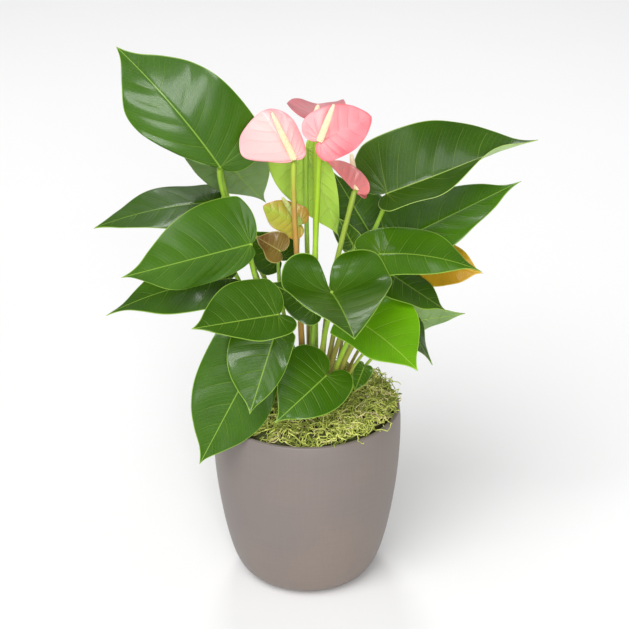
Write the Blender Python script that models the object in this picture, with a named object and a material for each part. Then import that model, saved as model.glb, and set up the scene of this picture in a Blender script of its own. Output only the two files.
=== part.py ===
"""Anthurium in a tapered ceramic cover pot, every physical piece as one closed solid.

Frame: origin at the centre of the pot's flat base, +X right, +Y away from the viewer, +Z up.
All sizes are named in millimetres here and turned into metres when a mesh is made.
"""
import math

import bmesh
import bpy
import numpy as np

MM = 0.001

# ---------------------------------------------------------------- pot
POT_HEIGHT = 147.0
RIM_RADIUS = 74.5
POT_WALL = 4.0
POT_FLOOR = 5.0
LIP_BEAD = 0.28  # height of the rounded lip, as a share of the wall
FIT_GAP = 0.3
# outside profile: (fraction of the pot's height, fraction of the rim radius)
POT_PROFILE = (
    (0.0, 0.590), (0.012, 0.645), (0.04, 0.715), (0.09, 0.778), (0.17, 0.835),
    (0.30, 0.895), (0.45, 0.945), (0.62, 0.985), (0.80, 1.006), (0.94, 1.006), (1.0, 0.993),
)
ROUND_STEPS = 48

# ---------------------------------------------------------------- what stands in the pot
NURSERY_WALL = 1.0
NURSERY_DROP = 14.0  # from the cover pot's rim down to the grower's pot's rim
NURSERY_FOOT_GAP = 3.0
NURSERY_MOUTH_GAP = 2.0
MIX_GAP = 0.6
MOSS_GAP = 0.8
MOSS_LIP_DROP = 6.0
MOSS_CROWN = 10.0
MOSS_RIPPLE = 1.6
# top of the moss, from the lip inwards to the clump: (fraction of the way, fraction of the
# crown's height, share of the ripple)
MOSS_PROFILE = (
    (0.06, -0.15, 0.6), (0.25, 0.45, 1.0), (0.50, 0.85, 1.0), (0.75, 1.0, 1.0), (0.92, 0.9, 0.6),
    (1.0, 0.6, 0.0),
)
CLUMP_RADIUS = 34.0

# ---------------------------------------------------------------- plant
PLANT_SCALE = 1.0
TABLE_RIM = 74.5  # the rim radius that the leaf table below is laid out for
BLADE_THICK = 0.7
MIDRIB_ROUND = 3.0  # half width of the round fold along the midrib
TWIST_POWER = 1.5  # how a twist gathers towards the tip
PETIOLE_RADIUS = 1.9
PETIOLE_TAPER = (1.12, 0.88)
SMALL_STEM = 0.65  # stem of a one-piece leaf, as a share of a petiole
STALK_RADIUS = 2.1
STALK_TAPER = (1.1, 0.9)
SPADIX_RADIUS = 2.4
SPADIX_TAPER = (0.95, 1.0, 0.95, 0.85, 0.7, 0.3)
SPADIX_SIDES = 8
TUBE_SIDES = 6
TUBE_STEPS = 9
BLADE_ROWS = 10
LOBE_ROWS = 4
BLADE_COLUMNS = 3

# Half outlines of a blade, from the notch round the basal lobe to the tip: (fraction of the
# lobe length when negative, of the midrib when positive; fraction of the half width)
HEART = (
    (0.0, 0.0), (-0.50, 0.06), (-0.92, 0.26), (-0.98, 0.56), (-0.60, 0.84), (-0.02, 0.98),
    (0.16, 1.0), (0.36, 0.91), (0.56, 0.70), (0.73, 0.40), (0.84, 0.17), (0.92, 0.06), (1.0, 0.0),
)
FULL = (
    (0.0, 0.0), (-0.50, 0.06), (-0.92, 0.26), (-0.98, 0.56), (-0.60, 0.84), (-0.02, 0.98),
    (0.22, 1.0), (0.45, 0.93), (0.63, 0.74), (0.77, 0.46), (0.87, 0.20), (0.94, 0.07), (1.0, 0.0),
)
SHALLOW = (
    (0.0, 0.0), (-0.30, 0.10), (-0.70, 0.25), (-0.60, 0.45), (0.06, 0.70), (0.22, 0.88),
    (0.40, 1.0), (0.55, 0.96), (0.69, 0.76), (0.81, 0.44), (0.90, 0.18), (0.95, 0.06), (1.0, 0.0),
)
FOLDED = (
    (0.0, 0.0), (0.02, 0.10), (0.10, 0.30), (0.22, 0.58), (0.38, 0.86), (0.52, 1.0),
    (0.66, 0.93), (0.80, 0.54), (0.92, 0.16), (1.0, 0.0),
)
ROUND = (
    (0.0, 0.0), (-0.50, 0.06), (-0.95, 0.28), (-0.98, 0.58), (-0.55, 0.86), (0.05, 1.0),
    (0.30, 1.0), (0.55, 0.90), (0.76, 0.66), (0.90, 0.36), (0.97, 0.16), (1.0, 0.0),
)
FAN = (
    (0.0, 0.0), (-0.15, 0.12), (0.08, 0.34), (0.25, 0.62), (0.45, 0.94), (0.62, 1.0), (0.84, 0.80),
    (0.95, 0.45), (0.99, 0.20), (1.0, 0.0),
)
OVAL = (
    (0.0, 0.0), (-0.5, 0.10), (-0.8, 0.35), (-0.2, 0.65), (0.25, 0.90), (0.55, 1.0), (0.80, 0.80),
    (0.95, 0.42), (1.0, 0.0),
)
DEEP = (
    (0.0, 0.0), (-0.50, 0.05), (-0.94, 0.22), (-1.0, 0.55), (-0.75, 0.86), (-0.30, 1.0),
    (0.05, 0.97), (0.30, 0.80), (0.55, 0.54), (0.78, 0.27), (0.92, 0.10), (1.0, 0.0),
)

# One entry per leaf, in millimetres from the centre of the rim (x right, y away, z up).
# base/tip: ends of the midrib; face: where the upper side looks. Single values serve both
# halves, pairs are (left, right) of the midrib. half: half width; lobe: length behind the
# base; arch: bow of the midrib; cup: upward slope of the halves in degrees; drop: downward
# roll of the lobes in degrees; sway: sideways bow of the midrib; twist: turn of the tip in
# degrees; root: where the petiole leaves the mix; lean: sideways swing of the petiole;
# arrive: the side it reaches the blade from.
LEAVES = {
    "leaf_top_left": dict(
        base=(-65, 10, 197), tip=(-140.5, 25, 286), face=(0, -1, 0.42), arch=6, half=(32, 43), lobe=(4, 14),
        outline=(FOLDED, FULL), sway=-3, root=(-18, 8), lean=(1, -5, 0)),
    "leaf_top_left_rear": dict(
        base=(-66, 42, 194), tip=(-32, 50, 153), face=(0.3, 1, 0.5), half=(34, 36), lobe=(22, 14),
        drop=10, lean=(5, 0, 0), root=(-14, 15)),
    "leaf_left_rear": dict(
        base=(-75, 40, 157), tip=(-164, 18, 144), face=(0, -0.1, 1), half=34, lobe=12, arch=4,
        outline=(FULL, FULL), root=(-24, 5)),
    "leaf_left_front": dict(
        base=(-41, -40, 155), tip=(-134, -70, 141), face=(0, -0.9, 0.8), half=(25, 41), lobe=(3, 9),
        outline=(SHALLOW, HEART), cup=(-50, 0), root=(-17, -8)),
    "leaf_left_low": dict(
        base=(-59, -12, 115), tip=(-151, -36, 95), face=(0, -0.2, 1), half=(38, 32), lobe=9, arch=6,
        root=(-26, -5)),
    "leaf_front_left": dict(
        base=(-21, -62, 108), tip=(-83, -85, 107), face=(0, -0.7, 1), half=(20, 34), lobe=(12, 8),
        outline=(HEART, FULL), root=(-5, -13), arrive=(0.4, 1, -0.4)),
    "leaf_front_shade": dict(
        base=(8, -16, 94), tip=(-30, -18, 115), face=(0, -1, 0.7), half=17, lobe=7, root=(2, -10)),
    "leaf_front_centre": dict(
        base=(19, -68, 128), tip=(34, -137, 124), face=(0, 0, 1), half=(46, 36), lobe=40, arch=3,
        drop=(-105, -105), cup=(8, 8), outline=(DEEP, DEEP), root=(8, -13), arrive=(0, 1, -0.7)),
    "leaf_front_right": dict(
        base=(34, -52, 101), tip=(82, -85, 73), face=(0.2, -0.5, 1), half=(42, 24), lobe=(10, 6), arch=4,
        outline=(FULL, FULL), root=(16, -18)),
    "leaf_right_shade": dict(
        base=(71, -12, 91), tip=(97, -30, 50), face=(1, -0.3, 1), half=22, lobe=10, root=(22, -15)),
    "leaf_right_low": dict(
        base=(68, 12, 66), tip=(125, 15, 73), face=(0, 1, 0.3), half=(14, 18), lobe=10, root=(27, -2)),
    "leaf_right_under": dict(
        base=(66, -18, 120), tip=(107, -32, 96), face=(0.3, -0.3, 1), half=(22, 24), lobe=6, root=(20, -7)),
    "leaf_right_mid": dict(
        base=(55, -28, 142), tip=(130, -45, 135), face=(0, -0.35, 1), half=(32, 20), lobe=22, arch=6,
        cup=(0, -20), root=(14, -10), arrive=(-0.2, 1, -0.6)),
    "leaf_right_high": dict(
        base=(73, 8, 139), tip=(165, 28, 179), face=(0, -0.35, 1), half=(38, 30), lobe=8,
        root=(19, 1)),
    "leaf_top_right": dict(
        base=(62, 20, 172), tip=(177, 35, 210), face=(0, -0.9, 0.5), half=(44, 36), lobe=(20, 10), arch=4,
        cup=(0, 60), twist=-45, outline=(FULL, FULL), root=(18, 10), lean=(-8, 0, 0)),
    "leaf_old_yellow": dict(
        base=(96, 12, 119), tip=(136, 0, 114), face=(0, -1, 1), half=20, lobe=8,
        root=(26, 6), lean=(0, 10, 0)),
    "leaf_centre_pale": dict(
        base=(0, 35, 202), tip=(28, 45, 123), face=(0, 1, 0.3), half=(33, 14), lobe=(12, 8),
        root=(2, 24), lean=(0, 7, 0)),
    "leaf_young_bronze": dict(
        base=(-20, -10, 137), tip=(-39, -10, 149), face=(0, -0.8, 1), half=14, lobe=4, cup=20,
        root=(-11, -3)),
    "leaf_rear_left": dict(
        base=(-20.5, 18.5, 118), tip=(-43.5, 30, 138), face=(0, -0.6, 1), half=20, lobe=6, root=(-11, 9)),
    "leaf_low_left": dict(
        base=(-23, -56, 90), tip=(-42, -86, 37), face=(0, -1, 0.7), half=(16, 31), lobe=(6, 8),
        outline=(FULL, FULL), root=(-5, -22), arrive=(0.9, 1, -0.3)),
    "leaf_hanging_left": dict(
        base=(-34, -42, 71), tip=(-82, -68, -16), face=(0.2, -1, 0.6), half=(29, 36), lobe=6,
        outline=(SHALLOW, FULL), root=(-20, -15)),
    "leaf_low_centre": dict(
        base=(15, -46, 49), tip=(-24, -76, 24), face=(-0.1, -1, 0.4), half=(24, 32), lobe=(16, 12),
        arch=3, root=(8, -24)),
    "leaf_moss_small": dict(
        base=(45, -5, 35), tip=(37, -20, 21), face=(0.3, -1, 0.6), half=8, lobe=4, root=(27, -9)),
    "leaf_rear_right": dict(
        base=(51, 55, 124), tip=(21, 82, 167), face=(0, -1, 0.5), half=26, lobe=12, root=(22, 15)),
    "leaf_rear_small": dict(
        base=(35, 5, 137), tip=(24, 15, 155), face=(-0.5, -1, 0.4), half=9, lobe=4, root=(13, 4)),
}

# Leaves so small that blade and petiole are one piece.
ONE_PIECE = (
    "leaf_moss_small", "leaf_rear_small", "leaf_young_bronze", "leaf_rear_left", "leaf_front_shade",
    "leaf_right_shade", "leaf_old_yellow", "leaf_rear_right", "leaf_right_low",
)

# The spathe of a flower is described like a leaf; spadix: where the spadix ends.
FLOWERS = {
    "flower_left": dict(
        base=(-9, 0, 207), tip=(-33, 10, 241), face=(0, -1, 0.5), half=(31, 16), lobe=(3, 4),
        cup=(8, 12), outline=(FAN, OVAL), spadix=(-25, -4, 244), root=(-3, -5), arrive=(0, -0.6, -1)),
    "flower_right": dict(
        base=(10, -19, 228), tip=(48, -9, 243), face=(0.1, -1, 0.6), half=(21, 18), lobe=(9, 6),
        cup=(8, 8), outline=(ROUND, ROUND), spadix=(20, -25, 257), root=(4, -4)),
    "flower_rear": dict(
        base=(7, 25, 231), tip=(10, 62, 230), face=(0, 0, 1), half=(24, 24), lobe=(9, 9),
        cup=(25, 25), outline=(ROUND, ROUND), spadix=(9, 42, 235), root=(7, 12)),
    "flower_low_right": dict(
        base=(38, 5, 180), tip=(16, 18, 199), face=(0.6, 1, 0.7), half=(14, 18), lobe=(8, 8),
        cup=(50, 50), outline=(ROUND, ROUND), spadix=(34, 22, 203), root=(11, -2)),
    "flower_faded": dict(
        base=(-5, 15, 149), tip=(-33, 11, 165), face=(0, -0.8, 0.6), half=(14, 13), lobe=(5, 5),
        cup=(10, 10), outline=(ROUND, ROUND), spadix=(-18, 10, 172), root=(-2, 10)),
}


def unit(vector):
    """Return the vector scaled to length one."""
    vector = np.asarray(vector, dtype=float)
    return vector / np.linalg.norm(vector)


def spread():
    """Return the plant's size against the leaf table; a wider rim holds a larger plant."""
    return PLANT_SCALE * RIM_RADIUS / TABLE_RIM


def place(point):
    """Turn a leaf-table point into millimetres from the centre of the pot's base."""
    return np.array([point[0] * spread(), point[1] * spread(), point[2] * spread() + POT_HEIGHT])


def smooth_line(points, count):
    """Sample a Catmull-Rom curve through the points, evenly along its length."""
    pts = np.array(points, dtype=float)
    pts = np.vstack([2 * pts[0] - pts[1], pts, 2 * pts[-1] - pts[-2]])
    dense = []
    for i in range(1, len(pts) - 2):
        p0, p1, p2, p3 = pts[i - 1:i + 3]
        for t in np.linspace(0, 1, 12, endpoint=False):
            dense.append(0.5 * (2 * p1 + (p2 - p0) * t + (2 * p0 - 5 * p1 + 4 * p2 - p3) * t * t
                                + (3 * p1 - p0 - 3 * p2 + p3) * t ** 3))
    dense.append(pts[-2])
    dense = np.array(dense)
    run = np.concatenate([[0], np.cumsum(np.linalg.norm(np.diff(dense, axis=0), axis=1))])
    want = np.linspace(0, run[-1], count)
    return np.stack([np.interp(want, run, dense[:, k]) for k in range(dense.shape[1])], axis=1)


def blade_frame(leaf):
    """Return base point, length and the forward, left and up axes of a blade."""
    base = place(leaf["base"])
    tip = place(leaf["tip"])
    forward = unit(tip - base)
    face = np.array(leaf["face"], dtype=float)
    up = unit(face - forward * face.dot(forward))
    return base, np.linalg.norm(tip - base), forward, np.cross(up, forward), up


def side_value(leaf, key, side, default=0.0):
    """Return a leaf-table value for one half; a single value serves both halves."""
    value = leaf.get(key, default)
    if isinstance(value, tuple) and not isinstance(value[0], tuple) or key == "outline" and len(value) == 2:
        return value[0] if side > 0 else value[1]
    return value


def bend(leaf, side, x, y, length):
    """Bend a flat blade point (x along the midrib, y to the left) into its grown shape."""
    lobe = side_value(leaf, "lobe", side) * spread()
    cup = math.radians(side_value(leaf, "cup", side))
    drop = math.radians(side_value(leaf, "drop", side))
    arch = leaf.get("arch", 0) * spread()
    along = x / length
    height = 4 * arch * along * (1 - along) if x > 0 else 4 * arch * along
    if x < 0 and drop:
        radius = lobe / drop
        roll = -x / radius
        height -= radius * (1 - math.cos(roll))
        x = -radius * math.sin(roll)
    height += (math.hypot(y, MIDRIB_ROUND) - MIDRIB_ROUND) * math.sin(cup)
    y = y * math.cos(cup) + leaf.get("sway", 0) * spread() * 4 * along * (1 - along) * (x > 0)
    turn = math.radians(leaf.get("twist", 0)) * max(along, 0) ** TWIST_POWER
    return x, y * math.cos(turn) - height * math.sin(turn), y * math.sin(turn) + height * math.cos(turn)


def half_rows(leaf, side, rows, lobe_rows, columns, length):
    """Return the grid of blade points of one half; rows follow the side veins."""
    half = side_value(leaf, "half", side) * spread()
    lobe = side_value(leaf, "lobe", side) * spread()
    outline = side_value(leaf, "outline", side, HEART)
    margin = smooth_line([((lobe if u < 0 else length) * u, half * v) for u, v in outline], rows + 1)
    grid = []
    for i, (mx, my) in enumerate(margin):
        start = length * (max(i - lobe_rows, 0) / (rows - lobe_rows)) ** 1.3
        row = []
        for j in range(columns + 1):
            s = j / columns
            bow = 2 * s * (1 - s)
            x = (1 - s) ** 2 * start + bow * (start + 0.32 * (mx - start)) + s * s * mx
            y = (bow * 0.55 + s * s) * my
            row.append(bend(leaf, side, x, y * side, length))
        grid.append(row)
    return np.array(grid)


def blade_points(leaf, rows, lobe_rows, columns):
    """Return both halves of a blade as grids of row millimetres."""
    base, length, forward, left, up = blade_frame(leaf)
    halves = []
    for side in (1, -1):
        grid = half_rows(leaf, side, rows, lobe_rows, columns, length)
        halves.append(base + grid[..., :1] * forward + grid[..., 1:2] * left + grid[..., 2:] * up)
    return halves


def blade_normal(leaf):
    """Return the upper-side direction of a blade at its base, following the arch of the midrib."""
    _, length, forward, _, up = blade_frame(leaf)
    slope = 4 * leaf.get("arch", 0) * spread() / length
    return unit(up - forward * slope)


def mix_top():
    """Return the height of the top of the potting mix."""
    return POT_HEIGHT - NURSERY_DROP


def petiole_path(leaf, radius=PETIOLE_RADIUS, into_blade=False, steps=TUBE_STEPS):
    """Return the centre line of a stem from the potting mix to the underside of its blade."""
    root_x, root_y = (spread() * value for value in leaf["root"])
    root = np.array([root_x, root_y, mix_top() + FIT_GAP + 0.3 * radius])
    normal = blade_normal(leaf)
    stand_off = -BLADE_THICK if into_blade else BLADE_THICK / 2 + FIT_GAP + radius
    end = place(leaf["base"]) - normal * stand_off
    rise = end[2] - root[2]
    lean = np.array(leaf.get("lean", (0, 0, 0)), dtype=float) * spread()
    first = root + np.array([0, 0, 0.55 * rise]) + lean
    arrive = unit(leaf.get("arrive", (0, 0, -1))) - 0.4 * normal
    last = end + unit(arrive) * 0.25 * rise + lean
    t = np.linspace(0, 1, steps + 1)[:, None]
    return (1 - t) ** 3 * root + 3 * (1 - t) ** 2 * t * first + 3 * (1 - t) * t * t * last + t ** 3 * end


def spadix_path(flower, radius=SPADIX_RADIUS, steps=len(SPADIX_TAPER) - 1):
    """Return the centre line of a spadix, from just above the spathe to its tip."""
    normal = blade_normal(flower)
    start = place(flower["base"]) + normal * (BLADE_THICK / 2 + FIT_GAP + radius)
    end = place(flower["spadix"])
    t = np.linspace(0, 1, steps + 1)[:, None]
    return start + (end - start) * t


# ---------------------------------------------------------------- solids

def add_object(name, points, faces, colour, roughness=0.5, hidden=False):
    """Make one closed mesh object from points in millimetres."""
    mesh = bpy.data.meshes.new(name)
    mesh.from_pydata([tuple(p * MM for p in point) for point in points], [], faces)
    work = bmesh.new()
    work.from_mesh(mesh)
    bmesh.ops.remove_doubles(work, verts=work.verts, dist=0.02 * MM)
    bmesh.ops.dissolve_degenerate(work, dist=0.01 * MM, edges=work.edges)
    bmesh.ops.recalc_face_normals(work, faces=work.faces)
    work.to_mesh(mesh)
    work.free()
    obj = bpy.data.objects.new(name, mesh)
    bpy.context.collection.objects.link(obj)
    if hidden:
        obj.hide_render = True
        obj.display_type = "WIRE"
        return obj
    material = bpy.data.materials.new(name)
    material.use_nodes = True
    shader = material.node_tree.nodes["Principled BSDF"]
    shader.inputs["Base Color"].default_value = (*colour, 1.0)
    shader.inputs["Roughness"].default_value = roughness
    mesh.materials.append(material)
    return obj


def turned(name, profile, colour, roughness=0.5, ripple=0.0):
    """Turn a closed profile of (radius, height) about the pot's axis; radius 0 makes a pole."""
    points = []
    rings = []
    for radius, height, *share in profile:
        if radius == 0:
            rings.append([len(points)])
            points.append((0, 0, height))
            continue
        ring = []
        for k in range(ROUND_STEPS):
            angle = 2 * math.pi * k / ROUND_STEPS
            wave = ripple * (share[0] if share else 0)
            lift = wave * (math.sin(5 * angle + radius) + math.sin(9 * angle - 2 * radius)) / 2
            ring.append(len(points))
            points.append((radius * math.cos(angle), radius * math.sin(angle), height + lift))
        rings.append(ring)
    faces = []
    count = len(rings)
    for i in range(count):
        a, b = rings[i], rings[(i + 1) % count]
        if len(a) == 1 and len(b) == 1:
            continue
        for k in range(ROUND_STEPS):
            n = (k + 1) % ROUND_STEPS
            if len(a) == 1:
                faces.append((a[0], b[n], b[k]))
            elif len(b) == 1:
                faces.append((a[k], a[n], b[0]))
            else:
                faces.append((a[k], a[n], b[n], b[k]))
    return add_object(name, points, faces, colour, roughness)


def add_blade(name, leaf, colour, thick=BLADE_THICK):
    """Make a blade or spathe: two grids joined at the midrib and thickened both ways."""
    halves = blade_points(leaf, BLADE_ROWS, LOBE_ROWS, BLADE_COLUMNS)
    sheet = bmesh.new()
    for side, grid in zip((1, -1), halves):
        verts = [[sheet.verts.new(p) for p in row] for row in grid]
        for i in range(len(verts) - 1):
            for j in range(BLADE_COLUMNS):
                quad = [verts[i][j], verts[i + 1][j], verts[i + 1][j + 1], verts[i][j + 1]]
                sheet.faces.new(quad if side > 0 else quad[::-1])
    bmesh.ops.remove_doubles(sheet, verts=sheet.verts, dist=0.05)
    bmesh.ops.dissolve_degenerate(sheet, dist=0.02, edges=sheet.edges)
    sheet.normal_update()
    sheet.verts.index_update()
    upper = [np.array(v.co) + np.array(v.normal) * thick / 2 for v in sheet.verts]
    lower = [np.array(v.co) - np.array(v.normal) * thick / 2 for v in sheet.verts]
    count = len(upper)
    faces = []
    for face in sheet.faces:
        loop = [v.index for v in face.verts]
        faces.append(loop)
        faces.append([count + k for k in reversed(loop)])
    for edge in sheet.edges:
        if len(edge.link_faces) == 1:
            a, b = (v.index for v in edge.verts)
            faces.append([a, b, count + b, count + a])
    sheet.free()
    return add_object(name, upper + lower, faces, colour, 0.35)


def add_tube(name, path, radii, colour, sides=TUBE_SIDES, hidden=False):
    """Make a round stem along a centre line, with one radius per point and flat ends."""
    points = []
    tangent = unit(path[1] - path[0])
    across = unit(np.cross(tangent, (0.31, 0.95, 0.11)))
    for i, centre in enumerate(path):
        ahead = path[min(i + 1, len(path) - 1)]
        tangent = unit(ahead - path[max(i - 1, 0)])
        across = unit(across - tangent * across.dot(tangent))
        other = np.cross(tangent, across)
        for k in range(sides):
            angle = 2 * math.pi * k / sides
            points.append(centre + radii[i] * (math.cos(angle) * across + math.sin(angle) * other))
    faces = [list(range(sides))[::-1], list(range(len(points) - sides, len(points)))]
    for i in range(len(path) - 1):
        for k in range(sides):
            n = (k + 1) % sides
            faces.append([i * sides + k, i * sides + n, (i + 1) * sides + n, (i + 1) * sides + k])
    return add_object(name, points, faces, colour, 0.45, hidden)


def pot_outside():
    """Return the pot's outside profile as (radius, height), bottom to top."""
    raw = [(r * RIM_RADIUS, h * POT_HEIGHT) for h, r in POT_PROFILE]
    return [tuple(p) for p in smooth_line(raw, 15)]


def pot_inner_radius(height):
    """Return the radius of the pot's inside wall at a height."""
    outside = pot_outside()
    return float(np.interp(height, [h for _, h in outside], [r for r, _ in outside])) - POT_WALL


def add_pot():
    """Make the ceramic cover pot: flat base, rounded belly, thin rounded lip, plain inside."""
    outside = pot_outside()
    rim = outside[-1][0]
    lip = [(rim - share * POT_WALL, POT_HEIGHT + LIP_BEAD * POT_WALL) for share in (0.25, 0.75)]
    heights = np.linspace(POT_HEIGHT, POT_FLOOR, 9)
    inside = [(pot_inner_radius(h), float(h)) for h in heights]
    profile = [(0, 0.0)] + outside + lip + inside + [(0, POT_FLOOR)]
    turned("cover_pot", profile, (0.33, 0.28, 0.25), 0.45)


def add_fillings():
    """Make the grower's pot, the potting mix in it and the ring of moss on top."""
    bottom = POT_FLOOR + FIT_GAP
    top = mix_top()
    foot = pot_inner_radius(POT_FLOOR) - NURSERY_FOOT_GAP
    mouth = pot_inner_radius(top) - NURSERY_MOUTH_GAP
    inside_foot = foot - NURSERY_WALL
    inside_mouth = mouth - NURSERY_WALL
    turned("grower_pot", [
        (0, bottom), (foot, bottom), (mouth, top), (inside_mouth, top),
        (inside_foot, bottom + NURSERY_WALL), (0, bottom + NURSERY_WALL)], (0.02, 0.02, 0.02))
    low = bottom + NURSERY_WALL + FIT_GAP
    turned("potting_mix", [
        (0, low), (inside_foot - MIX_GAP, low), (inside_mouth - MIX_GAP, top), (0, top)],
        (0.06, 0.04, 0.025), 0.9)
    under = top + FIT_GAP
    edge = pot_inner_radius(under) - MOSS_GAP
    lip_edge = pot_inner_radius(POT_HEIGHT) - MOSS_GAP
    hole = CLUMP_RADIUS * spread()
    crown = [(lip_edge + (hole - lip_edge) * way, POT_HEIGHT + MOSS_CROWN * lift, share)
             for way, lift, share in MOSS_PROFILE]
    turned("moss", [(hole, under), (edge, under), (lip_edge, POT_HEIGHT - MOSS_LIP_DROP)] + crown,
           (0.28, 0.32, 0.08), 0.9, ripple=MOSS_RIPPLE)


LEAF_GREEN = (0.07, 0.20, 0.015)
PETIOLE_GREEN = (0.28, 0.42, 0.05)
SPADIX_CREAM = (0.95, 0.82, 0.52)
BLADE_COLOURS = {
    "leaf_old_yellow": (0.50, 0.33, 0.02),
    "leaf_centre_pale": (0.26, 0.45, 0.05),
    "leaf_young_bronze": (0.20, 0.13, 0.03),
    "leaf_front_right": (0.12, 0.33, 0.01),
}
SPATHE_COLOURS = {
    "flower_left": (1.0, 0.53, 0.55),
    "flower_right": (1.0, 0.33, 0.36),
    "flower_rear": (0.75, 0.25, 0.28),
    "flower_low_right": (0.80, 0.22, 0.24),
    "flower_faded": (0.45, 0.35, 0.03),
}


def add_leaf(name, leaf):
    """Make one leaf: blade and petiole, as two pieces or as one when the leaf is small."""
    colour = BLADE_COLOURS.get(name, LEAF_GREEN)
    small = name in ONE_PIECE
    radius = PETIOLE_RADIUS * (SMALL_STEM if small else 1.0)
    path = petiole_path(leaf, radius, into_blade=small)
    radii = np.linspace(*PETIOLE_TAPER, len(path)) * radius
    if not small:
        add_blade(name + "_blade", leaf, colour)
        add_tube(name + "_petiole", path, radii, PETIOLE_GREEN)
        return
    blade = add_blade(name, leaf, colour)
    stem = add_tube(name + "_stem_form", path, radii, colour, hidden=True)
    join = blade.modifiers.new("join", "BOOLEAN")
    join.operation = "UNION"
    join.solver = "EXACT"
    join.object = stem


def add_flower(name, flower):
    """Make one flower: stalk, heart-shaped spathe and the spadix standing on it."""
    colour = SPATHE_COLOURS[name]
    path = petiole_path(flower, STALK_RADIUS)
    add_tube(name + "_stalk", path, np.linspace(*STALK_TAPER, len(path)) * STALK_RADIUS, PETIOLE_GREEN)
    add_blade(name + "_spathe", flower, colour)
    radii = SPADIX_RADIUS * np.array(SPADIX_TAPER)
    add_tube(name + "_spadix", spadix_path(flower), radii, SPADIX_CREAM, sides=SPADIX_SIDES)


def main():
    """Build every piece of the potted plant."""
    for obj in list(bpy.data.objects):
        bpy.data.objects.remove(obj)
    add_pot()
    add_fillings()
    for name, leaf in LEAVES.items():
        add_leaf(name, leaf)
    for name, flower in FLOWERS.items():
        add_flower(name, flower)


main()
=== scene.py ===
"""Potted anthurium: the living plant, its moss and its glazed pot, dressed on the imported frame.

The leaf and flower tables repeat the design's own, in millimetres from the centre of the pot's
rim, and every blade, stem and spadix is grown from them at full detail. Only the top right leaf's
tip turns further than the design's. The pot's sizes come from the frame, and nothing here moves a
node of it.
"""
from __future__ import annotations

import logging
import math
from collections.abc import Sequence
from dataclasses import dataclass, field
from enum import Enum

import bpy
import numpy as np
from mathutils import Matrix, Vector, noise


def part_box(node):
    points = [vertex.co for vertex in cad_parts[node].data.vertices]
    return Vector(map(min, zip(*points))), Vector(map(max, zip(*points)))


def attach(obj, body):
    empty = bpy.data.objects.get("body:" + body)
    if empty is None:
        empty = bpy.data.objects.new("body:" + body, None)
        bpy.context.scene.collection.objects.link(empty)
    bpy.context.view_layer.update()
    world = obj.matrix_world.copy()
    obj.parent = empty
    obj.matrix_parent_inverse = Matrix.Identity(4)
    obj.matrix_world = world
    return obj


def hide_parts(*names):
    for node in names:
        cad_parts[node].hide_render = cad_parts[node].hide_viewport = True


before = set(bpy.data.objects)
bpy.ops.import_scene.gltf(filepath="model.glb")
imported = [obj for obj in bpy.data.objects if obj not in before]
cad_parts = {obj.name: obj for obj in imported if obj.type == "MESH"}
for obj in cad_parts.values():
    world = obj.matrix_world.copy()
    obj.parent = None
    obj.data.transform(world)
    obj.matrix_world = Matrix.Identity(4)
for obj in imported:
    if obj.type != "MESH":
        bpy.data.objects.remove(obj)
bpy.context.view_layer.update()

LOG = logging.getLogger("anthurium")
MM = 0.001
BODY = "root"

Colour = tuple[float, float, float]
Point = tuple[float, float, float]
Pair = tuple[float, float]

POT_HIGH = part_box("cover_pot")[1]
LIP_BEAD = 1.12  # the rounded lip stands this much above the rim plane, in millimetres
RIM_HEIGHT = POT_HIGH[2] / MM - LIP_BEAD
BELLY_SHARE = 1.0070  # the belly's radius as a share of the rim's
RIM_RADIUS = POT_HIGH[0] / MM / BELLY_SHARE
BLADE_THICK = 0.7
PETIOLE_RADIUS = 1.9
SPATHE_THICK = 0.8
SMALL_STEM = 0.65  # radius of a small leaf's petiole as a share of the others'
STALK_RADIUS = 2.1
SPADIX_RADIUS = 2.4
MIX_DROP = 14.0
POT_WALL = 4.0
POT_FLOOR = 5.0
FIT_GAP = 0.3  # the gap between pieces that touch
POT_MOUTH = RIM_RADIUS * 0.993 - POT_WALL
CLUMP_RADIUS = 34.0
MOSS_CROWN = 10.0  # how far the moss domes above the rim plane
LOBE_ROW_SHARE = 0.4  # share of a blade's rows that fan round its basal lobe
MIDRIB_ROUND = 3.0  # half width of the round fold along a midrib
TWIST_POWER = 1.5  # how a twist gathers towards the tip


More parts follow.
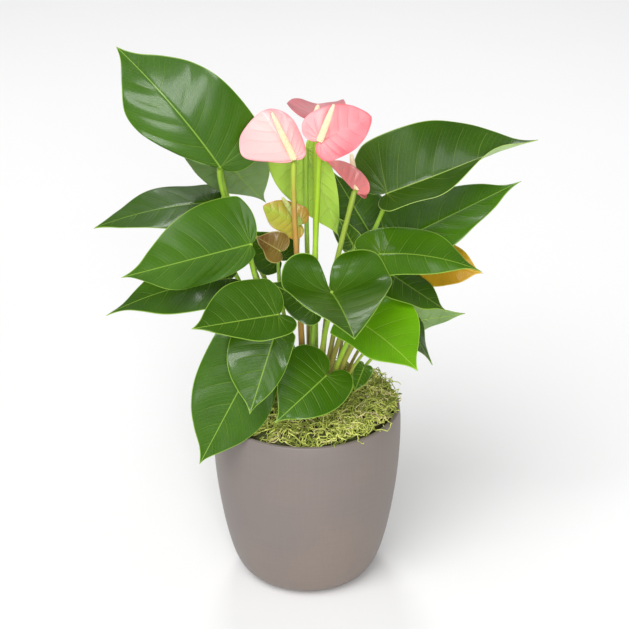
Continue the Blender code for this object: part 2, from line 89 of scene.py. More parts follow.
# ---------------------------------------------------------------- outlines and colours
class Outline(Enum):
    """Half outlines of a blade, from the notch round the basal lobe to the tip.

    Each point is a fraction of the lobe's length when negative, or of the midrib when positive,
    and a fraction of the half width.
    """

    HEART = (
        (0.0, 0.0), (-0.50, 0.06), (-0.92, 0.26), (-0.98, 0.56), (-0.60, 0.84), (-0.02, 0.98),
        (0.16, 1.0), (0.36, 0.91), (0.56, 0.70), (0.73, 0.40), (0.84, 0.17), (0.92, 0.06), (1.0, 0.0),
    )
    FULL = (
        (0.0, 0.0), (-0.50, 0.06), (-0.92, 0.26), (-0.98, 0.56), (-0.60, 0.84), (-0.02, 0.98),
        (0.22, 1.0), (0.45, 0.93), (0.63, 0.74), (0.77, 0.46), (0.87, 0.20), (0.94, 0.07), (1.0, 0.0),
    )
    SHALLOW = (
        (0.0, 0.0), (-0.30, 0.10), (-0.70, 0.25), (-0.60, 0.45), (0.06, 0.70), (0.22, 0.88),
        (0.40, 1.0), (0.55, 0.96), (0.69, 0.76), (0.81, 0.44), (0.90, 0.18), (0.95, 0.06), (1.0, 0.0),
    )
    FOLDED = (
        (0.0, 0.0), (0.02, 0.10), (0.10, 0.30), (0.22, 0.58), (0.38, 0.86), (0.52, 1.0),
        (0.66, 0.93), (0.80, 0.54), (0.92, 0.16), (1.0, 0.0),
    )
    ROUND = (
        (0.0, 0.0), (-0.50, 0.06), (-0.95, 0.28), (-0.98, 0.58), (-0.55, 0.86), (0.05, 1.0),
        (0.30, 1.0), (0.55, 0.90), (0.76, 0.66), (0.90, 0.36), (0.97, 0.16), (1.0, 0.0),
    )
    FAN = (
        (0.0, 0.0), (-0.15, 0.12), (0.08, 0.34), (0.25, 0.62), (0.45, 0.94), (0.62, 1.0), (0.84, 0.80),
        (0.95, 0.45), (0.99, 0.20), (1.0, 0.0),
    )
    OVAL = (
        (0.0, 0.0), (-0.5, 0.10), (-0.8, 0.35), (-0.2, 0.65), (0.25, 0.90), (0.55, 1.0), (0.80, 0.80),
        (0.95, 0.42), (1.0, 0.0),
    )
    DEEP = (
        (0.0, 0.0), (-0.50, 0.05), (-0.94, 0.22), (-1.0, 0.55), (-0.75, 0.86), (-0.30, 1.0),
        (0.05, 0.97), (0.30, 0.80), (0.55, 0.54), (0.78, 0.27), (0.92, 0.10), (1.0, 0.0),
    )


# ---------------------------------------------------------------- shader writing
class Signal:
    """A value socket that does sums: each operator adds the Math node that works it out."""

    def __init__(self, recipe: "Recipe", socket: bpy.types.NodeSocket) -> None:
        """Wrap one output socket of a recipe's node tree."""
        self.recipe = recipe
        self.socket = socket

    def _sum(self, operation: str, *values: "float | Signal") -> "Signal":
        """Add a Math node.

        Args:
            operation: The Math node's operation.
            values: What it works on, numbers or signals, in order.

        Returns:
            The result as a signal.
        """
        return self.recipe.signal("ShaderNodeMath", {"operation": operation}, dict(enumerate(values)))

    def __add__(self, other: "float | Signal") -> "Signal":
        """Return self + other."""
        return self._sum("ADD", self, other)

    def __radd__(self, other: float) -> "Signal":
        """Return other + self."""
        return self._sum("ADD", other, self)

    def __sub__(self, other: "float | Signal") -> "Signal":
        """Return self - other."""
        return self._sum("SUBTRACT", self, other)

    def __rsub__(self, other: float) -> "Signal":
        """Return other - self."""
        return self._sum("SUBTRACT", other, self)

    def __mul__(self, other: "float | Signal") -> "Signal":
        """Return self * other."""
        return self._sum("MULTIPLY", self, other)

    def __rmul__(self, other: float) -> "Signal":
        """Return other * self."""
        return self._sum("MULTIPLY", other, self)

    def __mod__(self, other: float) -> "Signal":
        """Return the positive remainder of self / other."""
        return self._sum("FLOORED_MODULO", self, other)

    def __abs__(self) -> "Signal":
        """Return the size of self without its sign."""
        return self._sum("ABSOLUTE", self)

    def larger(self, other: "float | Signal") -> "Signal":
        """Return the larger of self and other."""
        return self._sum("MAXIMUM", self, other)

    def rise(self, low: "float | Signal", high: "float | Signal") -> "Signal":
        """Return 0 below low and 1 above high, with a soft step between."""
        return self.recipe.signal(
            "ShaderNodeMapRange", {"interpolation_type": "SMOOTHSTEP"}, {0: self, 1: low, 2: high})

    def fall(self, low: "float | Signal", high: "float | Signal") -> "Signal":
        """Return 1 below low and 0 above high, with a soft step between."""
        return self.recipe.signal(
            "ShaderNodeMapRange", {"interpolation_type": "SMOOTHSTEP"},
            {0: self, 1: low, 2: high, 3: 1.0, 4: 0.0})


Feed = "float | Colour | Signal"


class Recipe:
    """One material being written: its node tree, its Principled shader and shorthand for nodes."""

    def __init__(self, name: str, **constants: float) -> None:
        """Start a material.

        Args:
            name: The material's name.
            constants: Values of the shader's own sockets, with _ for a space.
        """
        self.material = bpy.data.materials.new(name)
        self.material.use_nodes = True
        self.tree = self.material.node_tree
        self.shader = self.tree.nodes["Principled BSDF"]
        for socket, value in constants.items():
            self.shader.inputs[socket.replace("_", " ").title().replace("Ior", "IOR")].default_value = value

    def node(self, kind: str, settings: dict[str, object], inputs: dict[int | str, object]) -> bpy.types.Node:
        """Add any node.

        Args:
            kind: The node's type name.
            settings: Its properties, set first.
            inputs: Values or signals for its sockets, by index or name.

        Returns:
            The new node.
        """
        node = self.tree.nodes.new(kind)
        for key, value in settings.items():
            setattr(node, key, value)
        for key, value in inputs.items():
            socket = node.inputs[key]
            if isinstance(value, Signal):
                self.tree.links.new(value.socket, socket)
            elif isinstance(value, tuple) and len(socket.default_value) == 4:
                socket.default_value = (*value, 1.0)
            else:
                socket.default_value = value
        return node

    def signal(self, kind: str, settings: dict[str, object], inputs: dict[int | str, object],
               output: int | str = 0) -> Signal:
        """Add a node and return one of its outputs as a signal."""
        return Signal(self, self.node(kind, settings, inputs).outputs[output])

    def attribute(self, name: str) -> Signal:
        """Return a number that the mesh carries."""
        return self.signal("ShaderNodeAttribute", {"attribute_name": name}, {}, "Fac")

    def across(self, name: str) -> tuple[Signal, Signal]:
        """Return both directions of a UV map."""
        uv = self.signal("ShaderNodeUVMap", {"uv_map": name}, {})
        parts = self.node("ShaderNodeSeparateXYZ", {}, {0: uv})
        return Signal(self, parts.outputs[0]), Signal(self, parts.outputs[1])

    def place(self, stretch: Point = (1.0, 1.0, 1.0)) -> Signal:
        """Return the object's own coordinates, stretched along each axis."""
        where = self.signal("ShaderNodeTexCoord", {}, {}, "Object")
        return self.signal("ShaderNodeMapping", {}, {"Vector": where, "Scale": stretch})

    def noise(self, scale: float, detail: float = 2.0, stretch: Point = (1.0, 1.0, 1.0)) -> Signal:
        """Return a cloudy pattern of 0 to 1."""
        return self.signal("ShaderNodeTexNoise", {}, {
            "Vector": self.place(stretch), "Scale": scale, "Detail": detail})

    def cells(self, scale: float, feature: str = "DISTANCE_TO_EDGE") -> Signal:
        """Return a pattern of small cells."""
        return self.signal("ShaderNodeTexVoronoi", {"feature": feature}, {
            "Vector": self.place(), "Scale": scale})

    def mix(self, share: Feed, first: Feed, second: Feed) -> Signal:
        """Return the first colour turned into the second by a share of 0 to 1."""
        return self.signal("ShaderNodeMix", {"data_type": "RGBA"}, {0: share, 6: first, 7: second}, 2)

    def shade(self, colour: Feed, amount: Feed) -> Signal:
        """Return a colour made lighter or darker by an amount."""
        grey = self.signal("ShaderNodeCombineXYZ", {}, {0: amount, 1: amount, 2: amount})
        return self.signal("ShaderNodeVectorMath", {"operation": "MULTIPLY"}, {0: colour, 1: grey})

    def finish(self, colour: Signal, roughness: Feed, relief: Signal | None = None,
               depth: float = 0.0003) -> bpy.types.Material:
        """Join colour, roughness and relief to the shader.

        Args:
            colour: The base colour.
            roughness: A number or signal.
            relief: Height of the surface detail, 0 to 1.
            depth: What a height of 1 stands for, in metres.

        Returns:
            The finished material.
        """
        links = self.tree.links
        links.new(colour.socket, self.shader.inputs["Base Color"])
        if isinstance(roughness, Signal):
            links.new(roughness.socket, self.shader.inputs["Roughness"])
        else:
            self.shader.inputs["Roughness"].default_value = roughness
        if relief is not None:
            bump = self.node("ShaderNodeBump", {}, {"Height": relief, "Distance": depth, "Strength": 1.0})
            links.new(bump.outputs[0], self.shader.inputs["Normal"])
        return self.material


# ---------------------------------------------------------------- finishes
@dataclass(frozen=True)
class LeafFinish:
    """The skin of a leaf blade: glossy above, dull and paler below, with its net of veins."""

    name: str
    upper: Colour
    deep: Colour
    under: Colour
    vein: Colour
    roughness: float = 0.27
    gloss: float = 0.16

    def material(self) -> bpy.types.Material:
        """Return the material; it reads the blade's vein map and millimetre distances."""
        recipe = Recipe(self.name, coat_weight=self.gloss, coat_roughness=0.14, specular_ior_level=0.15)
        vein_at, outward = recipe.across("veins")
        pitch = recipe.attribute("pitch")
        rib = recipe.attribute("rib")
        along = recipe.attribute("along")
        below = recipe.attribute("below").rise(0.4, 0.6)
        off_vein = abs((vein_at + 0.5) % 1.0 - 0.5) * pitch
        off_fine = abs((vein_at * 5.0 + 0.5) % 1.0 - 0.5) * pitch * 0.2
        taper = outward.fall(0.25, 1.0)
        midrib = rib.fall(0.15, 0.95 - along * 0.65)
        side = off_vein.fall(0.05, 0.22 + taper * 0.34) * (0.35 + taper * 0.65) * outward.fall(0.80, 0.97)
        fine = off_fine.fall(0.04, 0.30) * outward.fall(0.8, 0.98)
        edge = recipe.attribute("margin").fall(0.25, 0.85)
        net = recipe.cells(620.0).fall(0.02, 0.16)
        cloud = recipe.noise(34.0, 3.0)
        streak = recipe.noise(9.0, 2.0)
        tone = cloud * 0.6 + streak * 0.4
        skin = recipe.mix(tone.rise(0.30, 0.68), self.deep, self.upper)
        # the leaf's shade number darkens its green: partly its own tone, partly painted shade on leaves lying
        # in shadow
        skin = recipe.shade(skin, recipe.attribute("shade"))
        skin = recipe.mix(fine * 0.06 + net * 0.03, skin, self.vein)
        skin = recipe.mix((side * 0.20).larger(midrib * 0.62), skin, self.vein)
        back = recipe.mix(cloud.rise(0.3, 0.7) * 0.35, self.under, self.upper)
        back = recipe.mix((side * 0.6).larger(midrib * 0.8) + net * 0.10, back, self.vein)
        colour = recipe.mix(below, skin, back)
        colour = recipe.mix(edge * 0.7, colour, self.vein)
        rough = self.roughness + below * 0.22 + net * 0.05 + cloud * 0.06
        relief = side * (below * 1.6 - 0.6) + net * 0.10 + fine * (below - 0.35) * 0.25 + cloud * 0.5
        return recipe.finish(colour, rough, relief, 0.00035)


@dataclass(frozen=True)
class SpatheFinish:
    """The skin of a spathe: pale in its middle, deeper where the flower blushes, waxy above."""

    name: str
    pale: Colour
    deep: Colour
    under: Colour
    vein: Colour
    roughness: float = 0.34

    def material(self) -> bpy.types.Material:
        """Return the material; it reads the blush that the mesh carries."""
        recipe = Recipe(self.name, coat_weight=0.18, coat_roughness=0.2, subsurface_weight=0.12,
                        subsurface_scale=0.002)
        vein_at, outward = recipe.across("veins")
        below = recipe.attribute("below").rise(0.4, 0.6)
        off_vein = abs((vein_at + 0.5) % 1.0 - 0.5) * recipe.attribute("pitch")
        line = off_vein.fall(0.05, 0.55) * outward.fall(0.6, 0.95)
        cloud = recipe.noise(45.0, 3.0)
        edge = recipe.attribute("margin").fall(0.3, 1.3)
        net = recipe.cells(900.0).fall(0.02, 0.2)
        blush = recipe.attribute("blush") + (cloud - 0.5) * 0.35 + edge * 0.25
        skin = recipe.mix(blush.rise(0.0, 1.0), self.pale, self.deep)
        skin = recipe.mix(line * 0.22 + net * 0.05, skin, self.vein)
        back = recipe.mix(cloud.rise(0.35, 0.7) * 0.5, self.under, self.deep)
        back = recipe.mix(line * 0.4, back, self.vein)
        colour = recipe.mix(below, skin, back)
        rough = self.roughness + below * 0.12 + cloud * 0.08
        relief = cloud * 0.6 - line * 0.5 + net * 0.08
        return recipe.finish(colour, rough, relief, 0.0004)


@dataclass(frozen=True)
class StemFinish:
    """The skin of a petiole or flower stalk: green at its top, changing towards its foot."""

    name: str
    top: Colour
    foot: Colour
    fleck: Colour
    change: Pair = (0.25, 0.75)
    roughness: float = 0.36

    def material(self) -> bpy.types.Material:
        """Return the material; it reads how far up the stem a point is."""
        recipe = Recipe(self.name, coat_weight=0.12, coat_roughness=0.2)
        around, up = recipe.across("stem")
        height = recipe.attribute("along")
        wave = recipe.noise(60.0, 2.0)
        skin = recipe.mix((height + (wave - 0.5) * 0.3).rise(*self.change), self.foot, self.top)
        strand = recipe.signal("ShaderNodeTexNoise", {}, {
            "Vector": recipe.signal("ShaderNodeCombineXYZ", {}, {0: around * 9.0, 1: up * 0.04, 2: 0.0}),
            "Scale": 3.0, "Detail": 3.0})
        dots = recipe.cells(700.0, "F1").fall(0.05, 0.22) * wave.rise(0.45, 0.7)
        colour = recipe.mix(strand.rise(0.45, 0.75) * 0.28, skin, self.foot)
        colour = recipe.mix(dots * 0.35, colour, self.fleck)
        relief = strand * 0.7 + dots * 0.3
        return recipe.finish(colour, self.roughness + strand * 0.12, relief, 0.00025)


@dataclass(frozen=True)
class SpadixFinish:
    """The many small florets of a spadix."""

    name: str
    floret: Colour
    gap: Colour
    tip: Colour

    def material(self) -> bpy.types.Material:
        """Return the material; florets change to the tip and are lighter where they stand out, with painted
        shade in the low places between them.
        """
        recipe = Recipe(self.name, subsurface_weight=0.1, subsurface_scale=0.001)
        grain = recipe.noise(500.0, 2.0)
        up = recipe.attribute("up_spadix")
        colour = recipe.mix(up.rise(0.1, 0.95), self.floret, self.tip)
        # painted shade: the gap colour darkens the low places of the floret grain
        colour = recipe.mix(grain.fall(0.30, 0.55) * 0.45, colour, self.gap)
        return recipe.finish(colour, 0.45 + grain * 0.15, grain, 0.0002)


@dataclass(frozen=True)
class MossFinish:
    """Dyed reindeer moss: yellow-green strands over a dark cushion whose colour is painted shade from deep
    among the strands.
    """

    name: str
    bright: Colour
    dull: Colour
    straw: Colour | None = None

    def material(self) -> bpy.types.Material:
        """Return the material; with a straw colour it reads the tone that each strand carries."""
        recipe = Recipe(self.name)
        cloud = recipe.noise(70.0, 3.0)
        grain = recipe.noise(900.0, 3.0)
        if self.straw is not None:
            tone = recipe.attribute("tone")
            colour = recipe.mix((tone * 0.6 + cloud * 0.4).rise(0.25, 0.7), self.dull, self.bright)
            colour = recipe.mix(tone.rise(0.86, 0.97) * 0.8, colour, self.straw)
        else:
            colour = recipe.mix((cloud * 0.5 + grain * 0.5).rise(0.4, 0.65), self.dull, self.bright)
        colour = recipe.shade(colour, 0.75 + grain * 0.5)
        return recipe.finish(colour, 0.78 + grain * 0.15, grain, 0.0004)


@dataclass(frozen=True)
class GlazeFinish:
    """Satin taupe glaze, with fine turning lines and a faint warm and cool drift."""

    name: str = "pot_glaze_satin"
    warm: Colour = (0.212, 0.168, 0.143)
    cool: Colour = (0.184, 0.154, 0.143)
    foot: Colour = (0.42, 0.36, 0.31)

    def material(self) -> bpy.types.Material:
        """Return the material; the lines follow the height, so they run round the pot."""
        recipe = Recipe(self.name, coat_weight=0.10, coat_roughness=0.3, ior=1.5)
        drift = recipe.noise(9.0, 2.0)
        lines = recipe.noise(60.0, 4.0, (0.45, 0.45, 34.0))
        threads = recipe.noise(60.0, 2.0, (9.0, 9.0, 0.4))
        speck = recipe.noise(1500.0, 2.0)
        colour = recipe.mix(drift.rise(0.32, 0.68), self.cool, self.warm)
        colour = recipe.shade(colour, 0.84 + lines * 0.20 + threads * 0.08 + speck * 0.04)
        height = recipe.signal("ShaderNodeSeparateXYZ", {}, {0: recipe.place()}, 2)
        colour = recipe.mix(height.fall(0.0002, 0.0016) * 0.6, colour, self.foot)
        rough = 0.40 + lines * 0.12 + speck * 0.06
        relief = lines * 0.55 + threads * 0.2 + speck * 0.25
        return recipe.finish(colour, rough, relief, 0.00012)


@dataclass(frozen=True)
class PlasticFinish:
    """Thin black plastic of a grower's pot."""

    name: str = "grower_plastic_black"
    colour: Colour = (0.018, 0.018, 0.019)
    scuff: Colour = (0.07, 0.065, 0.06)

    def material(self) -> bpy.types.Material:
        """Return the material, with dust and scuffs."""
        recipe = Recipe(self.name)
        dust = recipe.noise(55.0, 4.0)
        grain = recipe.noise(1400.0, 2.0)
        colour = recipe.mix(dust.rise(0.5, 0.8) * 0.7, self.colour, self.scuff)
        return recipe.finish(colour, 0.5 + dust * 0.2, grain, 0.0001)


@dataclass(frozen=True)
class MixFinish:
    """Damp peat with bark crumbs and white grit."""

    name: str = "potting_mix_crumb"
    peat: Colour = (0.030, 0.018, 0.011)
    bark: Colour = (0.115, 0.062, 0.032)
    grit: Colour = (0.55, 0.52, 0.47)

    def material(self) -> bpy.types.Material:
        """Return the material, crumbly at two sizes."""
        recipe = Recipe(self.name)
        crumb = recipe.cells(260.0, "F1")
        grain = recipe.noise(800.0, 4.0)
        patch = recipe.noise(120.0, 3.0)
        colour = recipe.mix(patch.rise(0.45, 0.6), self.peat, self.bark)
        colour = recipe.mix(recipe.cells(150.0, "F1").fall(0.06, 0.10), colour, self.grit)
        return recipe.finish(colour, 0.8 + grain * 0.15, crumb * 0.7 + grain * 0.3, 0.0015)


# ---------------------------------------------------------------- mesh helpers
def unit(vector: Sequence[float]) -> np.ndarray:
    """Return the vector scaled to length one."""
    array = np.asarray(vector, dtype=float)
    return array / np.linalg.norm(array)


def both(value: float | Pair, side: int) -> float:
    """Return the value for one half of a blade; a single value serves both."""
    if isinstance(value, tuple):
        return value[0] if side > 0 else value[1]
    return value


def smooth_line(points: Sequence[Sequence[float]], count: int, fine: int = 40) -> np.ndarray:
    """Sample a Catmull-Rom curve through points, evenly along its length.

    Args:
        points: What the curve goes through.
        count: How many samples to return.
        fine: Steps between two points while its length is measured.

    Returns:
        The samples, one row each.
    """
    pts = np.array(points, dtype=float)
    pts = np.vstack([2 * pts[0] - pts[1], pts, 2 * pts[-1] - pts[-2]])
    t = np.linspace(0, 1, fine, endpoint=False)[:, None]
    pieces = []
    for p0, p1, p2, p3 in zip(pts, pts[1:], pts[2:], pts[3:]):
        pieces.append(0.5 * (2 * p1 + (p2 - p0) * t + (2 * p0 - 5 * p1 + 4 * p2 - p3) * t * t
                             + (3 * p1 - p0 - 3 * p2 + p3) * t ** 3))
    dense = np.vstack(pieces + [pts[-2:-1]])
    run = np.concatenate([[0], np.cumsum(np.linalg.norm(np.diff(dense, axis=0), axis=1))])
    want = np.linspace(0, run[-1], count)
    return np.stack([np.interp(want, run, dense[:, k]) for k in range(dense.shape[1])], axis=1)


@dataclass
class Shell:
    """A mesh in the making: points in millimetres, faces, corner maps and point numbers."""

    points: list[np.ndarray] = field(default_factory=list)
    faces: list[list[int]] = field(default_factory=list)
    corners: list[list[Pair]] = field(default_factory=list)
    slots: list[int] = field(default_factory=list)
    numbers: dict[str, list[np.ndarray]] = field(default_factory=dict)
    size: int = 0

    def add(self, points: np.ndarray, faces: Sequence[Sequence[int]], corners: Sequence[Sequence[Pair]],
            slot: int = 0, **numbers: np.ndarray | float) -> None:
        """Add points and faces.

        Args:
            points: New points, one row each.
            faces: Faces as indices into the new points.
            corners: A map place for each corner of each face.
            slot: The material slot of the faces.
            numbers: Named numbers, one for each new point.
        """
        count = len(points)
        self.points.append(np.asarray(points, dtype=float))
        for name in set(self.numbers) | set(numbers):
            column = self.numbers.setdefault(name, [np.zeros(self.size)] if self.size else [])
            column.append(np.broadcast_to(np.asarray(numbers.get(name, 0.0), dtype=float), (count,)))
        self.faces.extend([index + self.size for index in face] for face in faces)
        self.corners.extend(corners)
        self.slots.extend([slot] * len(faces))
        self.size += count

    def piece(self, name: str, uv_name: str, materials: Sequence[bpy.types.Material]) -> bpy.types.Object:
        """Turn the shell into a smooth object with its maps and materials.

        Args:
            name: The object's name.
            uv_name: The name of its UV map.
            materials: One material for each slot.

        Returns:
            The object, at the origin.
        """
        mesh = bpy.data.meshes.new(name)
        mesh.from_pydata((np.vstack(self.points) * MM).tolist(), [], self.faces)
        uv = mesh.uv_layers.new(name=uv_name)
        uv.data.foreach_set("uv", np.array([c for face in self.corners for c in face]).ravel())
        for key, columns in self.numbers.items():
            layer = mesh.attributes.new(key, "FLOAT", "POINT")
            layer.data.foreach_set("value", np.concatenate(columns))
        mesh.polygons.foreach_set("material_index", self.slots)
        mesh.polygons.foreach_set("use_smooth", [True] * len(mesh.polygons))
        for material in materials:
            mesh.materials.append(material)
        mesh.update()
        obj = bpy.data.objects.new(name, mesh)
        bpy.context.collection.objects.link(obj)
        return obj


def report(piece: bpy.types.Object, slot: str, *nodes: str) -> None:
    """Hand a finished piece to the frame and log it.

    Args:
        piece: The finished object.
        slot: The record's material slot it stands for; not used.
        nodes: The frame's nodes that it replaces.
    """
    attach(piece, BODY)
    if nodes:
        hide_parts(*nodes)
    LOG.info("%s: %d faces", piece.name, len(piece.data.polygons))


def wound(sides: int, run: np.ndarray, pole: float) -> tuple[list[list[int]], list[list[Pair]]]:
    """Skin a row of closed rings that ends in one point at each end.

    Args:
        sides: How many points a ring has.
        run: How far along the row each ring lies, for the map.
        pole: Where the two end points lie across the map.

    Returns:
        The faces, which count the rings' points and then the two end points, and their map places.
    """
    faces: list[list[int]] = []
    corners: list[list[Pair]] = []
    for i in range(len(run) - 1):
        a, b = i * sides, (i + 1) * sides
        for k in range(sides):
            n = (k + 1) % sides
            faces.append([a + k, a + n, b + n, b + k])
            left, right = k / sides, (k + 1) / sides
            corners.append([(left, run[i]), (right, run[i]), (right, run[i + 1]), (left, run[i + 1])])
    foot = len(run) * sides
    last = foot - sides
    for k in range(sides):
        n = (k + 1) % sides
        faces += [[n, k, foot], [last + k, last + n, foot + 1]]
        corners += [[(n / sides, 0.0), (k / sides, 0.0), (pole, 0.0)],
                    [(k / sides, run[-1]), (n / sides, run[-1]), (pole, run[-1])]]
    return faces, corners


def tube(shell: Shell, path: np.ndarray, radii: np.ndarray, sides: int = 14, slot: int = 0,
         ribs: float = 0.0) -> None:
    """Add a closed round stem along a path, with rounded ends.

    Args:
        shell: The mesh it is added to.
        path: Its centre line, from foot to top.
        radii: Its radius at each point of the path.
        sides: How many flats stand for the round.
        slot: Its material slot.
        ribs: How far three faint ribs stand out, as a share of the radius.
    """
    later = np.vstack([path[1:], 2 * path[-1:] - path[-2:-1]])
    earlier = np.vstack([path[:1] * 2 - path[1:2], path[:-1]])
    ahead = later - earlier
    ahead /= np.linalg.norm(ahead, axis=1, keepdims=True)
    across = unit(np.cross(ahead[0], (0.31, 0.95, 0.11)))
    angles = np.linspace(0, 2 * math.pi, sides, endpoint=False)
    run = np.concatenate([[0], np.cumsum(np.linalg.norm(np.diff(path, axis=0), axis=1))])
    points = []
    for centre, direction, radius in zip(path, ahead, radii):
        across = unit(across - direction * across.dot(direction))
        other = np.cross(direction, across)
        reach = radius * (1 + ribs * np.cos(3 * angles))[:, None]
        points.append(centre + reach * (np.cos(angles)[:, None] * across + np.sin(angles)[:, None] * other))
    foot = path[0] - ahead[0] * radii[0] * 0.5
    top = path[-1] + ahead[-1] * radii[-1] * 0.5
    up = np.concatenate([np.repeat(run / run[-1], sides), [0.0, 1.0]])
    shell.add(np.vstack(points + [foot[None], top[None]]), *wound(sides, run, 0.5), slot, along=up)


# ---------------------------------------------------------------- leaves and spathes
@dataclass
class Blade:
    """A leaf blade or spathe: two halves that meet at the midrib, bent into their grown shape.

    Pairs hold the (left, right) half's value. base and tip are the midrib's ends, and face is
    where the upper side looks. half is the half width, lobe the length behind the base, arch
    the midrib's bow, cup the halves' upward slope, drop the lobes' downward roll, sway the
    midrib's sideways bow and twist the tip's turn from twist_from of the length on. root is where
    the stem leaves the mix, lean its sideways swing and arrive the side it reaches the blade from.
    veins counts the side veins of a half, quilt is how far the skin swells between them, wave how
    far the margin waves, and shade makes the leaf's green lighter or darker: partly the leaf's own
    tone, partly painted shade that darkens leaves lying in shadow. Angles are in degrees.
    """

    base: Point
    tip: Point
    face: Point
    half: float | Pair
    lobe: float | Pair
    root: Pair
    arch: float = 0.0
    cup: float | Pair = 0.0
    drop: float | Pair = 0.0
    sway: float = 0.0
    twist: float = 0.0
    outline: tuple[Outline, Outline] = (Outline.HEART, Outline.HEART)
    lean: Point = (0.0, 0.0, 0.0)
    arrive: Point = (0.0, 0.0, -1.0)
    veins: int = 11
    shade: float = 1.0
    quilt: float = 0.32
    wave: float = 1.6
    twist_from: float = 0.0
    rows: int = 100
    columns: int = 16

    def frame(self) -> tuple[np.ndarray, float, np.ndarray, np.ndarray, np.ndarray]:
        """Return base point, length, and the forward, left and up directions."""
        base = place(self.base)
        forward = place(self.tip) - base
        length = float(np.linalg.norm(forward))
        forward = forward / length
        face = np.array(self.face, dtype=float)
        up = unit(face - forward * face.dot(forward))
        return base, length, forward, np.cross(up, forward), up

    def normal(self) -> np.ndarray:
        """Return the upper side's direction at the base, with the midrib's arch."""
        _, length, forward, _, up = self.frame()
        return unit(up - forward * 4 * self.arch / length)

    def bent(self, side: int, x: np.ndarray, y: np.ndarray, length: float) -> np.ndarray:
        """Bend flat points into the grown shape.

        Args:
            side: 1 for the left half, -1 for the right.
            x: Distance along the midrib.
            y: Distance to the left of it.
            length: The midrib's length.

        Returns:
            Points along the forward, left and up directions.
        """
        cup = math.radians(both(self.cup, side))
        drop = math.radians(both(self.drop, side))
        along = x / length
        height = 4 * self.arch * along * np.where(x > 0, 1 - along, 1.0)
        if drop:
            radius = both(self.lobe, side) / drop
            roll = np.maximum(-x, 0) / radius
            height = height - radius * (1 - np.cos(roll))
            x = np.where(x < 0, -radius * np.sin(roll), x)
        height = height + (np.hypot(y, MIDRIB_ROUND) - MIDRIB_ROUND) * math.sin(cup)
        y = y * math.cos(cup) + self.sway * 4 * along * (1 - along) * (x > 0)
        turned = np.maximum(along - self.twist_from, 0) / (1 - self.twist_from)
        turn = math.radians(self.twist) * turned ** TWIST_POWER
        return np.stack([x, y * np.cos(turn) - height * np.sin(turn),
                         y * np.sin(turn) + height * np.cos(turn)], axis=-1)

    def half_grid(self, side: int) -> dict[str, np.ndarray]:
        """Return one half as grids: places, and distances in the blade's own measures."""
        base, length, forward, left, up = self.frame()
        half, lobe = both(self.half, side), both(self.lobe, side)
        outline = self.outline[0 if side > 0 else 1].value
        margin = smooth_line([((lobe if u < 0 else length) * u, half * v) for u, v in outline],
                             self.rows + 1)
        lobe_rows = round(LOBE_ROW_SHARE * self.rows)
        row = np.arange(self.rows + 1)
        start = length * (np.maximum(row - lobe_rows, 0) / (self.rows - lobe_rows)) ** 1.3
        s = 0.5 - 0.5 * np.cos(np.linspace(0, math.pi, self.columns + 1))
        bow = 2 * s * (1 - s)
        mx, my, start = margin[:, :1], margin[:, 1:], start[:, None]
        x = (1 - s) ** 2 * start + bow * (start + 0.32 * (mx - start)) + s * s * mx
        y = (bow * 0.55 + s * s) * my * side
        flat = self.bent(side, x, y, length)
        place_of = base + flat[..., :1] * forward + flat[..., 1:2] * left + flat[..., 2:] * up
        between = np.linalg.norm(np.gradient(place_of, axis=0), axis=2)
        out = np.linalg.norm(place_of - place_of[:, -1:], axis=2)
        rib = np.abs(y)
        vein_row = self.vein_place(row / self.rows, side)
        return {"place": place_of, "pitch": between * self.rows / self.veins, "margin": out, "rib": rib,
                "along": np.clip(x / length, 0, 1), "row": np.repeat(vein_row[:, None], len(s), 1),
                "s": np.repeat(s[None], self.rows + 1, 0), "side": np.full(rib.shape, float(side))}

    def vein_place(self, row: np.ndarray, side: int) -> np.ndarray:
        """Return where rows of 0 to 1 lie among the side veins, which are never quite even."""
        return row + 0.022 * np.sin(11.0 * row + 1.7 * side + self.root[1]) * np.sin(math.pi * row)

    def add_to(self, shell: Shell, slot: int = 0, thick: float = BLADE_THICK,
               blush: "Blush | None" = None) -> None:
        """Add the blade as a thin closed skin, with veins pressed in and a stout midrib below."""
        halves = [self.half_grid(side) for side in (1, -1)]
        stack = {key: np.stack([grid[key] for grid in halves]) for key in halves[0]}
        rows, columns = self.rows, self.columns
        lobe_rows = round(LOBE_ROW_SHARE * rows)
        ids = np.arange(2 * (rows + 1) * (columns + 1)).reshape(2, rows + 1, columns + 1)
        ids[1, :, 0] = ids[0, :, 0]
        ids[:, 0, :] = ids[0, 0, 0]
        ids[:, :lobe_rows + 1, 0] = ids[0, 0, 0]
        ids[:, -1, :] = ids[0, -1, 0]
        keep, flat_ids = np.unique(ids, return_inverse=True)
        ids = flat_ids.reshape(ids.shape)
        value = {key: grid.reshape(-1, *grid.shape[3:])[keep] for key, grid in stack.items()}
        faces: list[list[int]] = []
        corners: list[list[Pair]] = []
        for h, side in enumerate((1, -1)):
            steps = ((0, 0), (1, 0), (1, 1), (0, 1))
            for i in range(rows):
                for j in range(columns):
                    loop = [(ids[h, i + a, j + b], (stack["row"][h, i + a, 0] * self.veins,
                                                    stack["s"][h, 0, j + b])) for a, b in steps]
                    kept = [item for k, item in enumerate(loop) if item[0] != loop[k - 1][0]]
                    if len({item[0] for item in kept}) < 3:
                        continue
                    kept = kept if side > 0 else kept[::-1]
                    faces.append([int(item[0]) for item in kept])
                    corners.append([item[1] for item in kept])
        points = value["place"]
        normals = point_normals(points, faces)
        phase = value["row"] * self.veins
        valley = np.abs((phase + 0.5) % 1.0 - 0.5) * 2
        spread = np.sin(math.pi * np.clip(value["s"], 0, 1)) ** 0.7
        lift = self.quilt * (valley ** 0.6 - 0.7) * spread * np.clip(value["pitch"] / 6, 0, 1)
